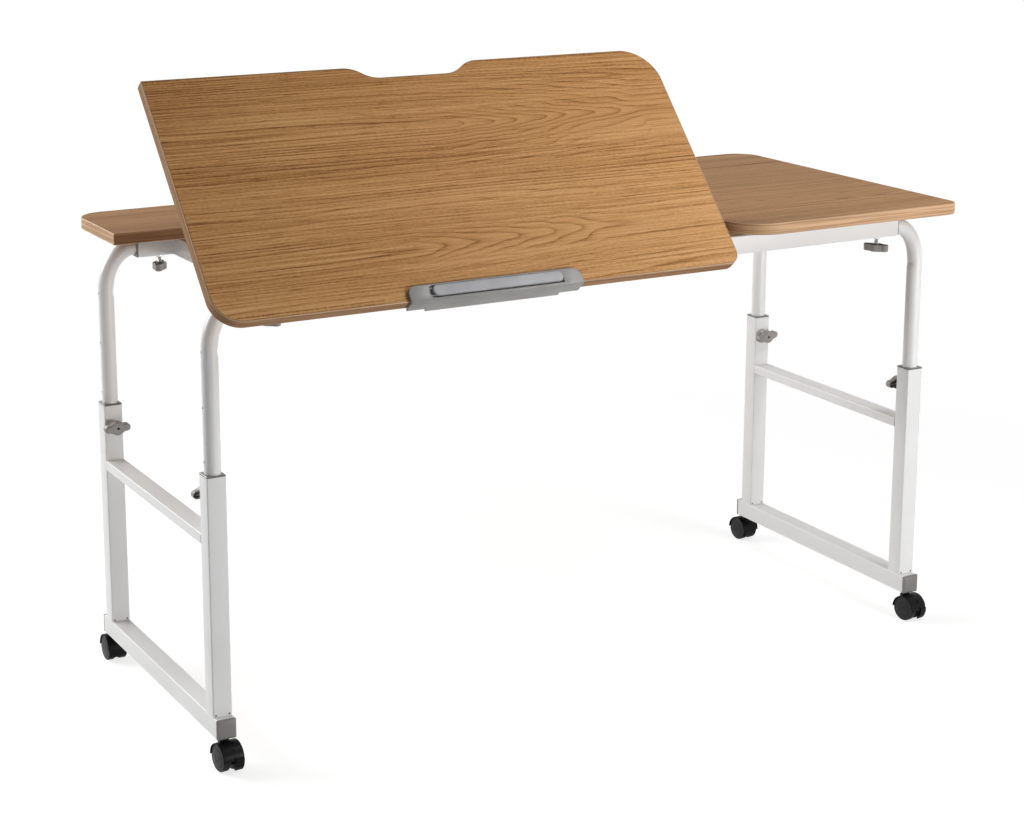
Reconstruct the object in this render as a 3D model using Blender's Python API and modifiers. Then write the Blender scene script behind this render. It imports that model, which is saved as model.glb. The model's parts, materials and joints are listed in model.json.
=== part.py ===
"""Mobile computer desk: an L-shaped top with a nested tilting panel on a telescoping castor frame.

Metres, +Z up, +X to the right, the front edge faces -Y. The origin is on the floor under the
middle of the top.
"""

import math

import bmesh
import bpy
from mathutils import Matrix, Vector

# Boards
TOP_WIDTH = 1.300
TOP_DEPTH = 0.600
BOARD_THICKNESS = 0.018
REAR_STRIP_DEPTH = 0.190
RIGHT_PANEL_WIDTH = 0.430
PANEL_GAP = 0.003
BOARD_EDGE_ROUND = 0.0015
REAR_CORNER_RADIUS = 0.045
FRONT_RIGHT_RADIUS = 0.025
RIGHT_PANEL_INNER_RADIUS = 0.070
SQUARE_CORNER_RADIUS = 0.002
TILT_FRONT_LEFT_RADIUS = 0.045
TILT_FRONT_RIGHT_RADIUS = 0.022
TILT_REAR_RIGHT_RADIUS = 0.060
NOTCH_MOUTH = 0.197
NOTCH_FLOOR = 0.143
NOTCH_DEPTH = 0.021
NOTCH_RADIUS = 0.048

# Welded top frame
TUBE = 0.030
TUBE_WALL = 0.0012
TUBE_CORNER = 0.0018
CROSS_INSET = 0.060
MIDDLE_CROSS_INSET = 0.027
RISER_HEIGHT = 0.012
RISER_LENGTH = 0.050
RISER_SINK = 0.0006
RISER_SIDE_INSET = 0.002
FRONT_RISER_INSET = 0.100

# Side frames and their telescoping uprights
LEG_SPAN_X = 1.260
LEG_SPAN_Y = 0.430
LEG_LENGTH = 0.364
FLOOR_BAR_OVERHANG = 0.015
RUNG_HEIGHT = 0.016
RUNG_RISE = 0.256
HEIGHT_SET = 0.246
UPRIGHT_RADIUS = 0.0125
UPRIGHT_WALL = 0.0012
BEND_REACH = 0.048
BEND_DROP = 0.066
UPRIGHT_IN_RAIL = 0.250
UPRIGHT_IN_LEG = 0.210
COLLAR_THICKNESS = 0.0025
COLLAR_INSERT = 0.020
BAR_CAP_THICKNESS = 0.005
BAR_PLUG_CLEARANCE = 0.0012
BAR_CAP_BEVEL = 0.0012

# Wing knobs
KNOB_HALF_LENGTH = 0.021
KNOB_HUB_HALF_HEIGHT = 0.0115
KNOB_WING_RADIUS = 0.0062
KNOB_HUB_SPREAD = 0.0135
KNOB_HEIGHT = 0.0115
HEIGHT_KNOB_STANDOFF = 0.0095
WIDTH_KNOB_STANDOFF = 0.0135
KNOB_WALL = 0.002
KNOB_FACE = 0.003
KNOB_BOSS_RADIUS = 0.0055
KNOB_DIMPLE_RADIUS = 0.0012
KNOB_DIMPLE_DEPTH = 0.0015
SCREW_RADIUS = 0.003
KNOB_BELOW_COLLAR = 0.0355
KNOB_FROM_RAIL_END = {"left": 0.0425, "right": 0.035}
HEIGHT_KNOB_TURNS = {"front_left": -8, "front_right": -4, "rear_left": 2, "rear_right": 12}
WIDTH_KNOB_TURNS = {"front_left": 60, "front_right": 60, "rear_left": -64, "rear_right": 20}

# Castors
CASTOR_HEIGHT = 0.048
CASTOR_FROM_BAR_END = 0.0135
CASTOR_TRAIL = 0.009
WHEEL_RADIUS = 0.0205
WHEEL_WIDTH = 0.0132
WHEEL_SHOULDER = 0.0018
WHEEL_DOME = 0.0012
CROWN_REACH = 0.6
CROWN_FALL = 0.4
AXLE_RADIUS = 0.003
AXLE_GRIP = 0.0105
HOOD_CLEARANCE = 0.0008
HOOD_WALL = 0.0018
HOOD_OVERLAP = 0.0005
APRON_START = math.radians(162)
APRON_END = math.radians(215)
APRON_SIDE_INSET = 0.004
BRAKE_LOW = math.radians(-45)
BRAKE_HIGH = math.radians(11)
BRAKE_THICKNESS = 0.0035
HOOD_WEB = 0.006
KEEL_SHARE = 0.8
HOOD_BOSS_RADIUS = 0.007
STEM_RADIUS = 0.004
STEM_LENGTH = 0.022
CASTOR_YAWS = {"front_left": 185, "front_right": 189, "rear_left": 0, "rear_right": 4}

# Tilt hinge
TILT_ANGLE = math.radians(48)
PIVOT_AHEAD = 0.008
PIVOT_RISE = 0.003
HINGE_SPREAD = 0.430
HINGE_PLATE = 0.003
HINGE_PIN_RADIUS = 0.0025
BASE_KNUCKLE_RADIUS = 0.0050
BASE_KNUCKLE_LENGTH = 0.020
ARM_KNUCKLE_RADIUS = 0.0065
ARM_KNUCKLE_LENGTH = 0.011
ARM_LENGTH = 0.150
HINGE_BASE_WIDTH = 0.044
REST_RADIUS = 0.010
REST_SETBACK = 0.045

# Book stop on the tilting panel
STOP_WIDTH = 0.286
STOP_OFFSET = 0.0025
STOP_PLATE_DEPTH = 0.0225
STOP_PLATE_THICKNESS = 0.0048
STOP_LIP_THICKNESS = 0.0037
STOP_LIP_DROP = 0.0015
STOP_SKIRT_DROP = 0.0085
STOP_SKIRT_WIDTH = 0.222
STOP_CORNER = 0.014
FLAP_LENGTH = 0.215
FLAP_DEPTH = 0.0168
FLAP_THICKNESS = 0.0058
FLAP_SETBACK = 0.0024
FLAP_ROUND = 0.0020
FLAP_ROUND_STEPS = 2
FLAP_CORNER = 0.0075
FINGER_GAP = 0.006
FLAP_POCKET_MARGIN = 0.0024
FLAP_POCKET_CORNER = 0.0025
FLAP_POCKET_FLOOR = 0.0012
FLAP_PIN_RADIUS = 0.0008
FLAP_PIN_BITE = 0.003
FLAP_AXIS_SETBACK = 0.0043
FLAP_AXIS_RISE = 0.0033

# Fits and facets
SEAT_GAP = 0.0003
RUNNING_GAP = 0.0003
CORNER_STEPS = 8
SMALL_CORNER_STEPS = 4
TUBE_CORNER_STEPS = 1
ROUND_SIDES = 16
PIN_SIDES = 8
UPRIGHT_BEVEL_RESOLUTION = 4
BEND_STEPS = 8
WING_STEPS = 5
SMOOTH_ANGLE = math.radians(35)

# Places that follow from the sizes above
SIDES = {"left": -1, "right": 1}
ENDS = {"front": -1, "rear": 1}
BAR_BASE = CASTOR_HEIGHT
LEG_BASE = BAR_BASE + TUBE
LEG_TOP = LEG_BASE + LEG_LENGTH
RAIL_AXIS = LEG_TOP + HEIGHT_SET
RAIL_TOP = RAIL_AXIS + TUBE / 2
TOP_UNDERSIDE = RAIL_TOP + RISER_HEIGHT
TOP_SURFACE = TOP_UNDERSIDE + BOARD_THICKNESS
RAIL_Y = LEG_SPAN_Y / 2
RAIL_END = LEG_SPAN_X / 2 - BEND_REACH
RAIL_HALF = RAIL_END - COLLAR_THICKNESS - SEAT_GAP
BAR_END = RAIL_Y + TUBE / 2 + FLOOR_BAR_OVERHANG
BAR_HALF = BAR_END - BAR_CAP_THICKNESS - SEAT_GAP
BAR_PLUG = CASTOR_FROM_BAR_END - BAR_CAP_THICKNESS - STEM_RADIUS - BAR_PLUG_CLEARANCE
TOP_FRONT = -TOP_DEPTH / 2
TOP_REAR = TOP_DEPTH / 2
TOP_LEFT = -TOP_WIDTH / 2
TOP_RIGHT = TOP_WIDTH / 2
STRIP_FRONT = TOP_REAR - REAR_STRIP_DEPTH
RIGHT_PANEL_LEFT = TOP_RIGHT - RIGHT_PANEL_WIDTH
TILT_RIGHT = RIGHT_PANEL_LEFT - PANEL_GAP
TILT_DEPTH = STRIP_FRONT - PANEL_GAP - TOP_FRONT
TILT_MIDDLE = (TOP_LEFT + TILT_RIGHT) / 2
PIVOT_Y = -RAIL_Y - TUBE / 2 - PIVOT_AHEAD
PIVOT_Z = RAIL_TOP + PIVOT_RISE
PIVOT_SETBACK = PIVOT_Y - TOP_FRONT
PIVOT_DROP = TOP_SURFACE - PIVOT_Z
TUBE_INSIDE = TUBE - 2 * TUBE_WALL
CROSS_LEFT = -RAIL_END + CROSS_INSET + TUBE / 2
CROSS_RIGHT = RAIL_END - CROSS_INSET - TUBE / 2
CROSS_MIDDLE = TILT_RIGHT - MIDDLE_CROSS_INSET
FRONT_RISER = RIGHT_PANEL_LEFT + FRONT_RISER_INSET
ALONG_X = Matrix(((0, 0, 1, 0), (1, 0, 0, 0), (0, 1, 0, 0), (0, 0, 0, 1)))
ALONG_Y = Matrix.Rotation(math.pi / 2, 4, "X")
ALONG_Z = Matrix.Identity(4)


def clear_scene():
    for obj in list(bpy.data.objects):
        bpy.data.objects.remove(obj, do_unlink=True)


def collection(name):
    made = bpy.data.collections.new(name)
    bpy.context.scene.collection.children.link(made)
    return made


def finish(name, colour, roughness, metallic=0.0):
    material = bpy.data.materials.new(name)
    material.use_nodes = True
    shader = material.node_tree.nodes["Principled BSDF"]
    shader.inputs["Base Color"].default_value = (*colour, 1.0)
    shader.inputs["Roughness"].default_value = roughness
    shader.inputs["Metallic"].default_value = metallic
    return material


clear_scene()
DESK = collection("mobile_computer_desk")
CUTTERS = collection("cutters")
OAK = finish("oak_laminate", (0.45, 0.25, 0.11), 0.5)
OAK_TILT = finish("oak_laminate_tilting", (0.48, 0.26, 0.10), 0.5)
WHITE_STEEL = finish("white_powder_coat", (0.80, 0.80, 0.79), 0.4)
GREY_PLASTIC = finish("grey_moulding", (0.17, 0.165, 0.16), 0.5)
KNOB_PLASTIC = finish("knob_moulding", (0.23, 0.22, 0.21), 0.45)
STOP_PLASTIC = finish("book_stop_moulding", (0.27, 0.265, 0.26), 0.45)
FLAP_PLASTIC = finish("silver_flap", (0.36, 0.36, 0.375), 0.35)
BLACK_PLASTIC = finish("castor_nylon", (0.014, 0.014, 0.016), 0.4)
WHEEL_PLASTIC = finish("castor_wheel_nylon", (0.03, 0.03, 0.034), 0.35)
HINGE_STEEL = finish("zinc_plated_steel", (0.55, 0.55, 0.56), 0.35, 1.0)
REST_RUBBER = finish("rubber_rest", (0.02, 0.02, 0.02), 0.8)


def rounded_outline(corners, steps=CORNER_STEPS):
    """A closed outline from (x, y, radius) corners; a radius of 0 keeps the corner sharp."""
    points = []
    for index, (x, y, radius) in enumerate(corners):
        here = Vector((x, y))
        after_corner = corners[(index + 1) % len(corners)]
        before = (Vector(corners[index - 1][:2]) - here).normalized()
        after = (Vector(after_corner[:2]) - here).normalized()
        if radius == 0:
            points.append(here)
            continue
        half_angle = before.angle(after) / 2
        centre = here + (before + after).normalized() * radius / math.sin(half_angle)
        spoke = here + before * radius / math.tan(half_angle) - centre
        left_turn = after.x * before.y - after.y * before.x
        sweep = math.copysign(math.pi - 2 * half_angle, left_turn)
        for step in range(steps + 1):
            points.append(centre + Matrix.Rotation(sweep * step / steps, 2) @ spoke)
    return points


def rectangle(width, height, radius, steps=TUBE_CORNER_STEPS):
    x, y = width / 2, height / 2
    corners = [(-x, -y, radius), (x, -y, radius), (x, y, radius), (-x, y, radius)]
    return rounded_outline(corners, steps)


def circle(radius, sides=ROUND_SIDES):
    angles = [2 * math.pi * (side + 0.5) / sides for side in range(sides)]
    return [Vector((radius * math.cos(angle), radius * math.sin(angle))) for angle in angles]


def bore(radius, sides=ROUND_SIDES):
    """A circle whose flats, not its corners, lie at the radius."""
    return circle(radius / math.cos(math.pi / sides), sides)


def add_object(name, data, material, home=None):
    obj = bpy.data.objects.new(name, data)
    (home or DESK).objects.link(obj)
    if material:
        data.materials.clear()
        data.materials.append(material)
    return obj


def evaluated_mesh(obj):
    bpy.context.view_layer.update()
    mesh = bpy.data.meshes.new_from_object(obj.evaluated_get(bpy.context.evaluated_depsgraph_get()))
    mesh.name = obj.name
    return mesh


def weld(mesh):
    work = bmesh.new()
    work.from_mesh(mesh)
    bmesh.ops.remove_doubles(work, verts=work.verts, dist=1e-6)
    bmesh.ops.recalc_face_normals(work, faces=work.faces)
    work.to_mesh(mesh)
    work.free()


def curve_to_mesh(curve_object, material):
    """Replace a curve object by a welded mesh object of the same name and place."""
    mesh = evaluated_mesh(curve_object)
    weld(mesh)
    name, place = curve_object.name, curve_object.matrix_world.copy()
    bpy.data.objects.remove(curve_object, do_unlink=True)
    solid = add_object(name, mesh, material)
    solid.matrix_world = place
    return solid


def extrude(name, loops, low, high, material, axis=ALONG_Z):
    """A prism over flat loops (the first outside, the rest holes) from low to high along an axis."""
    curve = bpy.data.curves.new(name, "CURVE")
    curve.dimensions = "2D"
    curve.fill_mode = "BOTH"
    curve.extrude = (high - low) / 2
    for loop in loops:
        spline = curve.splines.new("POLY")
        spline.points.add(len(loop) - 1)
        for point, place in zip(spline.points, loop):
            point.co = (place.x, place.y, 0, 1)
        spline.use_cyclic_u = True
    solid = curve_to_mesh(add_object(name, curve, None), material)
    solid.data.transform(axis @ Matrix.Translation((0, 0, (low + high) / 2)))
    return solid


def inward(outline, amount):
    """A counter-clockwise outline with every side moved inward."""
    moved = []
    for index, here in enumerate(outline):
        before = (here - outline[index - 1]).normalized()
        after = (outline[(index + 1) % len(outline)] - here).normalized()
        inner = Vector((-before.y - after.y, before.x + after.x))
        moved.append(here + inner * amount / (1 + before.dot(after)))
    return moved


def cushion(name, outline, low, high, radius, steps, material):
    """A slab over a counter-clockwise outline with its upper and lower edges rounded all round."""
    arcs = [math.pi / 2 * step / steps for step in range(steps + 1)]
    profile = [(radius * (1 - math.sin(arc)), low + radius * (1 - math.cos(arc))) for arc in arcs]
    profile += [(inset, low + high - height) for inset, height in reversed(profile)]
    count = len(outline)
    verts = [(point.x, point.y, height) for inset, height in profile for point in inward(outline, inset)]
    faces = [tuple(range(count)), tuple(range(len(verts) - count, len(verts)))]
    for start in range(0, len(verts) - count, count):
        for index in range(count):
            here, across = start + index, start + (index + 1) % count
            faces.append((here, across, across + count, here + count))
    mesh = bpy.data.meshes.new(name)
    mesh.from_pydata(verts, [], faces)
    weld(mesh)
    return add_object(name, mesh, material)


def turned(name, profile, material, axis=ALONG_Z, sides=ROUND_SIDES):
    """A solid of revolution from (radius, height) points listed from the top down the outside."""
    mesh = bpy.data.meshes.new(name)
    edges = [(index, index + 1) for index in range(len(profile) - 1)]
    mesh.from_pydata([(radius, 0, height) for radius, height in profile], edges, [])
    solid = add_object(name, mesh, material)
    screw = solid.modifiers.new("turn", "SCREW")
    screw.steps = sides
    screw.render_steps = sides
    screw.use_merge_vertices = True
    screw.merge_threshold = 1e-5
    bake(solid)
    solid.data.transform(axis)
    return solid


def cylinder(name, radius, low, high, material, axis=ALONG_Z, sides=ROUND_SIDES):
    return extrude(name, [circle(radius, sides)], low, high, material, axis)


def box(name, low, high, material):
    corners = [(low[0], low[1], 0), (high[0], low[1], 0), (high[0], high[1], 0), (low[0], high[1], 0)]
    return extrude(name, [rounded_outline(corners)], low[2], high[2], material)


def bake(obj):
    """Turn an object's modifiers into its mesh."""
    mesh = evaluated_mesh(obj)
    obj.modifiers.clear()
    obj.data = mesh


def smooth(obj):
    obj.data.shade_smooth()
    obj.data.set_sharp_from_angle(angle=SMOOTH_ANGLE)


def combine(target, tools, operation):
    """Join the tools to the target, or cut them from it, and drop the tools."""
    for tool in tools:
        step = target.modifiers.new(operation.lower(), "BOOLEAN")
        step.operation = operation
        step.object = tool
    bake(target)
    for tool in tools:
        bpy.data.objects.remove(tool, do_unlink=True)


def drill(target, tool):
    """Cut a tool that stays in the file as a wire-frame cutter."""
    DESK.objects.unlink(tool)
    CUTTERS.objects.link(tool)
    tool.hide_render = True
    tool.display_type = "WIRE"
    hole = target.modifiers.new("hole", "BOOLEAN")
    hole.operation = "DIFFERENCE"
    hole.object = tool


def round_edges(obj, width):
    bevel = obj.modifiers.new("rounded edges", "BEVEL")
    bevel.width = width
    bevel.limit_method = "ANGLE"
    bevel.angle_limit = math.radians(50)


def square_tube(name, width, height, length, axis, material=WHITE_STEEL):
    outside = rectangle(width, height, TUBE_CORNER)
    inside = rectangle(width - 2 * TUBE_WALL, height - 2 * TUBE_WALL, TUBE_CORNER - TUBE_WALL)
    return extrude(name, [outside, inside], -length / 2, length / 2, material, axis)


def copy_object(source, name, matrix):
    """Another node with the same mesh, at its own place."""
    obj = add_object(name, source.data, None)
    obj.matrix_world = matrix
    return obj


def build_fixed_top():
    """One L-shaped board: a rear strip and a full-depth right panel."""
    inner_fillet = TILT_REAR_RIGHT_RADIUS + PANEL_GAP
    outline = rounded_outline([
        (TOP_LEFT, STRIP_FRONT, SQUARE_CORNER_RADIUS),
        (RIGHT_PANEL_LEFT, STRIP_FRONT, inner_fillet),
        (RIGHT_PANEL_LEFT, TOP_FRONT, RIGHT_PANEL_INNER_RADIUS),
        (TOP_RIGHT, TOP_FRONT, FRONT_RIGHT_RADIUS),
        (TOP_RIGHT, TOP_REAR, REAR_CORNER_RADIUS),
        (TOP_LEFT, TOP_REAR, REAR_CORNER_RADIUS),
    ])
    board = extrude("fixed_top", [outline], 0, BOARD_THICKNESS, OAK)
    board.location.z = TOP_UNDERSIDE
    round_edges(board, BOARD_EDGE_ROUND)


def build_tilt_panel(pivot):
    """The panel that nests in the L, with a shallow cable notch in its rear edge."""
    notch_left = TILT_MIDDLE - NOTCH_MOUTH / 2
    notch_right = TILT_MIDDLE + NOTCH_MOUTH / 2
    floor_left = TILT_MIDDLE - NOTCH_FLOOR / 2
    floor_right = TILT_MIDDLE + NOTCH_FLOOR / 2
    notch_level = TILT_DEPTH - NOTCH_DEPTH
    outline = rounded_outline([
        (TOP_LEFT, 0, TILT_FRONT_LEFT_RADIUS),
        (TILT_RIGHT, 0, TILT_FRONT_RIGHT_RADIUS),
        (TILT_RIGHT, TILT_DEPTH, TILT_REAR_RIGHT_RADIUS),
        (notch_right, TILT_DEPTH, NOTCH_RADIUS),
        (floor_right, notch_level, NOTCH_RADIUS),
        (floor_left, notch_level, NOTCH_RADIUS),
        (notch_left, TILT_DEPTH, NOTCH_RADIUS),
        (TOP_LEFT, TILT_DEPTH, SQUARE_CORNER_RADIUS),
    ])
    board = extrude("tilt_panel", [outline], 0, BOARD_THICKNESS, OAK_TILT)
    ride(board, pivot, (0, -PIVOT_SETBACK, PIVOT_DROP - BOARD_THICKNESS))
    round_edges(board, BOARD_EDGE_ROUND)


def ride(obj, parent, place):
    obj.parent = parent
    obj.location = place


def width_knob_x(side):
    return SIDES[side] * (RAIL_END - KNOB_FROM_RAIL_END[side])


def build_top_frame():
    """Two square rails joined by three cross members, with pads that lift the top off the rails."""
    pads = {"front": (FRONT_RISER, CROSS_RIGHT), "rear": (CROSS_LEFT, CROSS_MIDDLE, CROSS_RIGHT)}
    for end, sign in ENDS.items():
        rail = square_tube(f"{end}_rail", TUBE, TUBE, 2 * RAIL_HALF, ALONG_X)
        half_pad = Vector((RISER_LENGTH / 2, TUBE / 2 - RISER_SIDE_INSET))
        pad_bottom = TUBE / 2 - RISER_SINK
        pad_top = TUBE / 2 + RISER_HEIGHT - SEAT_GAP
        risers = []
        for x in pads[end]:
            low = (x - half_pad.x, -half_pad.y, pad_bottom)
            risers.append(box("riser", low, (x + half_pad.x, half_pad.y, pad_top), WHITE_STEEL))
        combine(rail, risers, "UNION")
        rail.location = (0, sign * RAIL_Y, RAIL_AXIS)
        for side in SIDES:
            hole = cylinder("rail_screw_hole", SCREW_RADIUS + RUNNING_GAP, -TUBE, 0, None)
            hole.location = (width_knob_x(side), sign * RAIL_Y, RAIL_AXIS)
            drill(rail, hole)
    cross_length = LEG_SPAN_Y - TUBE - 2 * SEAT_GAP
    for name, x in (("left", CROSS_LEFT), ("middle", CROSS_MIDDLE), ("right", CROSS_RIGHT)):
        member = square_tube(f"cross_member_{name}", TUBE, TUBE, cross_length, ALONG_Y)
        member.location = (x, 0, RAIL_AXIS)


def collar_mesh():
    """A square flange with a sleeve that guides the round upright inside a square tube."""
    hole = bore(UPRIGHT_RADIUS + RUNNING_GAP)
    sleeve_width = TUBE_INSIDE - 2 * SEAT_GAP
    face = rectangle(TUBE, TUBE, TUBE_CORNER)
    flange = extrude("collar", [face], SEAT_GAP, COLLAR_THICKNESS, GREY_PLASTIC)
    sleeve_outline = rectangle(sleeve_width, sleeve_width, TUBE_CORNER - TUBE_WALL)
    sleeve = extrude("sleeve", [sleeve_outline], -COLLAR_INSERT, COLLAR_THICKNESS / 2, GREY_PLASTIC)
    combine(flange, [sleeve], "UNION")
    passage = extrude("passage", [hole], -2 * COLLAR_INSERT, 2 * COLLAR_THICKNESS, None)
    combine(flange, [passage], "DIFFERENCE")
    return flange


def build_collars():
    """Grey guide collars in the rail ends and the leg tops."""
    source = collar_mesh()
    for end, y_sign in ENDS.items():
        for side, x_sign in SIDES.items():
            corner = f"{end}_{side}"
            on_rail = Matrix.Translation((x_sign * RAIL_HALF, y_sign * RAIL_Y, RAIL_AXIS))
            outward = Matrix.Rotation(x_sign * math.pi / 2, 4, "Y")
            copy_object(source, f"rail_end_cap_{corner}", on_rail @ outward)
            leg_end = (x_sign * LEG_SPAN_X / 2, y_sign * RAIL_Y, LEG_TOP - COLLAR_THICKNESS)
            copy_object(source, f"leg_collar_{corner}", Matrix.Translation(leg_end))
    bpy.data.objects.remove(source, do_unlink=True)


def build_uprights():
    """Round tubes bent from the rail line down into the legs."""
    for end, y_sign in ENDS.items():
        for side, x_sign in SIDES.items():
            name = f"upright_{end}_{side}"
            points = [Vector((-BEND_REACH - UPRIGHT_IN_RAIL, 0, 0))]
            for step in range(BEND_STEPS + 1):
                angle = math.pi / 2 * step / BEND_STEPS
                across = -BEND_REACH * (1 - math.sin(angle))
                points.append(Vector((across, 0, -BEND_DROP * (1 - math.cos(angle)))))
            points.append(Vector((0, 0, -HEIGHT_SET - UPRIGHT_IN_LEG)))
            curve = bpy.data.curves.new(name, "CURVE")
            curve.dimensions = "3D"
            curve.bevel_depth = UPRIGHT_RADIUS
            curve.bevel_resolution = UPRIGHT_BEVEL_RESOLUTION
            spline = curve.splines.new("POLY")
            spline.points.add(len(points) - 1)
            for target, place in zip(spline.points, points):
                target.co = (x_sign * place.x, place.y, place.z, 1)
            tube = curve_to_mesh(add_object(name, curve, None), WHITE_STEEL)
            wall = tube.modifiers.new("tube wall", "SOLIDIFY")
            wall.thickness = UPRIGHT_WALL
            wall.offset = -1
            tube.location = (x_sign * LEG_SPAN_X / 2, y_sign * RAIL_Y, RAIL_AXIS)
            smooth(tube)


def build_side_frames():
    """Each side: two square legs and a rung on a floor bar with capped ends."""
    leg_length = LEG_LENGTH - COLLAR_THICKNESS - SEAT_GAP
    rung_length = LEG_SPAN_Y - TUBE - 2 * SEAT_GAP
    for side, x_sign in SIDES.items():
        x = x_sign * LEG_SPAN_X / 2
        bar = square_tube(f"floor_bar_{side}", TUBE, TUBE, 2 * BAR_HALF, ALONG_Y)
        bar.location = (x, 0, BAR_BASE + TUBE / 2)
        rung = square_tube(f"rung_{side}", TUBE, RUNG_HEIGHT, rung_length, ALONG_Y)
        rung.location = (x, 0, LEG_BASE + RUNG_RISE + RUNG_HEIGHT / 2)
        for end, y_sign in ENDS.items():
            leg = square_tube(f"leg_{end}_{side}", TUBE, TUBE, leg_length, ALONG_Z)
            leg.location = (x, y_sign * RAIL_Y, LEG_BASE + SEAT_GAP + leg_length / 2)
            hole = cylinder("leg_screw_hole", SCREW_RADIUS + RUNNING_GAP, 0, TUBE, None, ALONG_Y)
            hole.location = (x, y_sign * (RAIL_Y - TUBE / 2) + TUBE / 2, LEG_TOP - KNOB_BELOW_COLLAR)
            drill(leg, hole)
            socket = cylinder("stem_socket", STEM_RADIUS + RUNNING_GAP, -TUBE / 2, TUBE / 2, None)
            socket.location = (x, y_sign * (BAR_END - CASTOR_FROM_BAR_END), BAR_BASE)
            drill(bar, socket)


def build_bar_caps():
    """Grey plugs with a bevelled face in the floor bar ends."""
    face = rectangle(TUBE, TUBE, TUBE_CORNER)
    plug_width = TUBE_INSIDE - 2 * SEAT_GAP
    cap = extrude("bar_cap", [face], SEAT_GAP, BAR_CAP_THICKNESS, GREY_PLASTIC)
    round_edges(cap, BAR_CAP_BEVEL)
    plug_outline = rectangle(plug_width, plug_width, TUBE_CORNER - TUBE_WALL)
    plug = extrude("plug", [plug_outline], -BAR_PLUG, BAR_CAP_THICKNESS / 2, GREY_PLASTIC)
    combine(cap, [plug], "UNION")
    for end, y_sign in ENDS.items():
        for side, x_sign in SIDES.items():
            place = (x_sign * LEG_SPAN_X / 2, y_sign * BAR_HALF, BAR_BASE + TUBE / 2)
            outward = Matrix.Rotation(-y_sign * math.pi / 2, 4, "X")
            copy_object(cap, f"bar_end_cap_{end}_{side}", Matrix.Translation(place) @ outward)
    bpy.data.objects.remove(cap, do_unlink=True)


def wing_outline(inset):
    """The knob's plan: a round hub that tapers into two rounded wings."""
    wing = KNOB_WING_RADIUS - inset
    swell = KNOB_HUB_HALF_HEIGHT - KNOB_WING_RADIUS
    wing_centre = KNOB_HALF_LENGTH - KNOB_WING_RADIUS
    edge = []
    steps = SMALL_CORNER_STEPS
    for step in range(WING_STEPS):
        x = wing_centre - 2 * wing_centre * step / WING_STEPS
        bulge = math.cos(math.pi / 2 * min(1, abs(x) / KNOB_HUB_SPREAD)) ** 2
        edge.append(Vector((x, wing + swell * bulge)))
    for step in range(steps):
        angle = math.pi / 2 + math.pi * step / steps
        edge.append(Vector((-wing_centre + wing * math.cos(angle), wing * math.sin(angle))))
    return edge + [-point for point in edge]


def knob_mesh(rim):
    """A hollow wing knob on a clamp screw; the tube face it screws into is at height 0."""
    face = rim + KNOB_HEIGHT
    tip = UPRIGHT_RADIUS + RUNNING_GAP - TUBE / 2
    knob = extrude("knob", [wing_outline(0)], rim, face, KNOB_PLASTIC)
    hollow_loops = [wing_outline(KNOB_WALL), circle(KNOB_BOSS_RADIUS, PIN_SIDES)]
    hollow = extrude("hollow", hollow_loops, rim - KNOB_WALL, face - KNOB_FACE, None)
    combine(knob, [hollow], "DIFFERENCE")
    screw = cylinder("screw", SCREW_RADIUS, tip, rim + KNOB_HEIGHT / 2, None, sides=PIN_SIDES)
    combine(knob, [screw], "UNION")
    dimple_floor = face - KNOB_DIMPLE_DEPTH
    dimple = cylinder("dimple", KNOB_DIMPLE_RADIUS, dimple_floor, face + KNOB_WALL, None, sides=PIN_SIDES)
    combine(knob, [dimple], "DIFFERENCE")
    smooth(knob)
    return knob


def build_knobs():
    """Four knobs clamp the height on the legs' inner faces, four clamp the width under the rails."""
    height_source, width_source = knob_mesh(HEIGHT_KNOB_STANDOFF), knob_mesh(WIDTH_KNOB_STANDOFF)
    for end, y_sign in ENDS.items():
        for side, x_sign in SIDES.items():
            corner = f"{end}_{side}"
            turn = Matrix.Rotation(math.radians(HEIGHT_KNOB_TURNS[corner]), 4, "Z")
            facing = Matrix.Rotation(y_sign * math.pi / 2, 4, "X")
            inner_face = y_sign * (RAIL_Y - TUBE / 2)
            place = (x_sign * LEG_SPAN_X / 2, inner_face, LEG_TOP - KNOB_BELOW_COLLAR)
            copy_object(height_source, f"height_knob_{corner}", Matrix.Translation(place) @ facing @ turn)
            turn = Matrix.Rotation(math.radians(WIDTH_KNOB_TURNS[corner]), 4, "Z")
            facing = Matrix.Rotation(math.pi, 4, "X")
            place = (width_knob_x(side), y_sign * RAIL_Y, RAIL_AXIS - TUBE / 2)
            copy_object(width_source, f"width_knob_{corner}", Matrix.Translation(place) @ facing @ turn)
    for source in (height_source, width_source):
        bpy.data.objects.remove(source, do_unlink=True)


def arc_band(radius_in, radius_out, start, end):
    """A ring sector seen along the axle; angles run from the trailing side over the top."""
    angles = [start + (end - start) * step / CORNER_STEPS for step in range(CORNER_STEPS + 1)]
    spokes = [Vector((math.cos(angle), math.sin(angle))) for angle in angles]
    return [spoke * radius_out for spoke in spokes] + [spoke * radius_in for spoke in reversed(spokes)]


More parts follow.
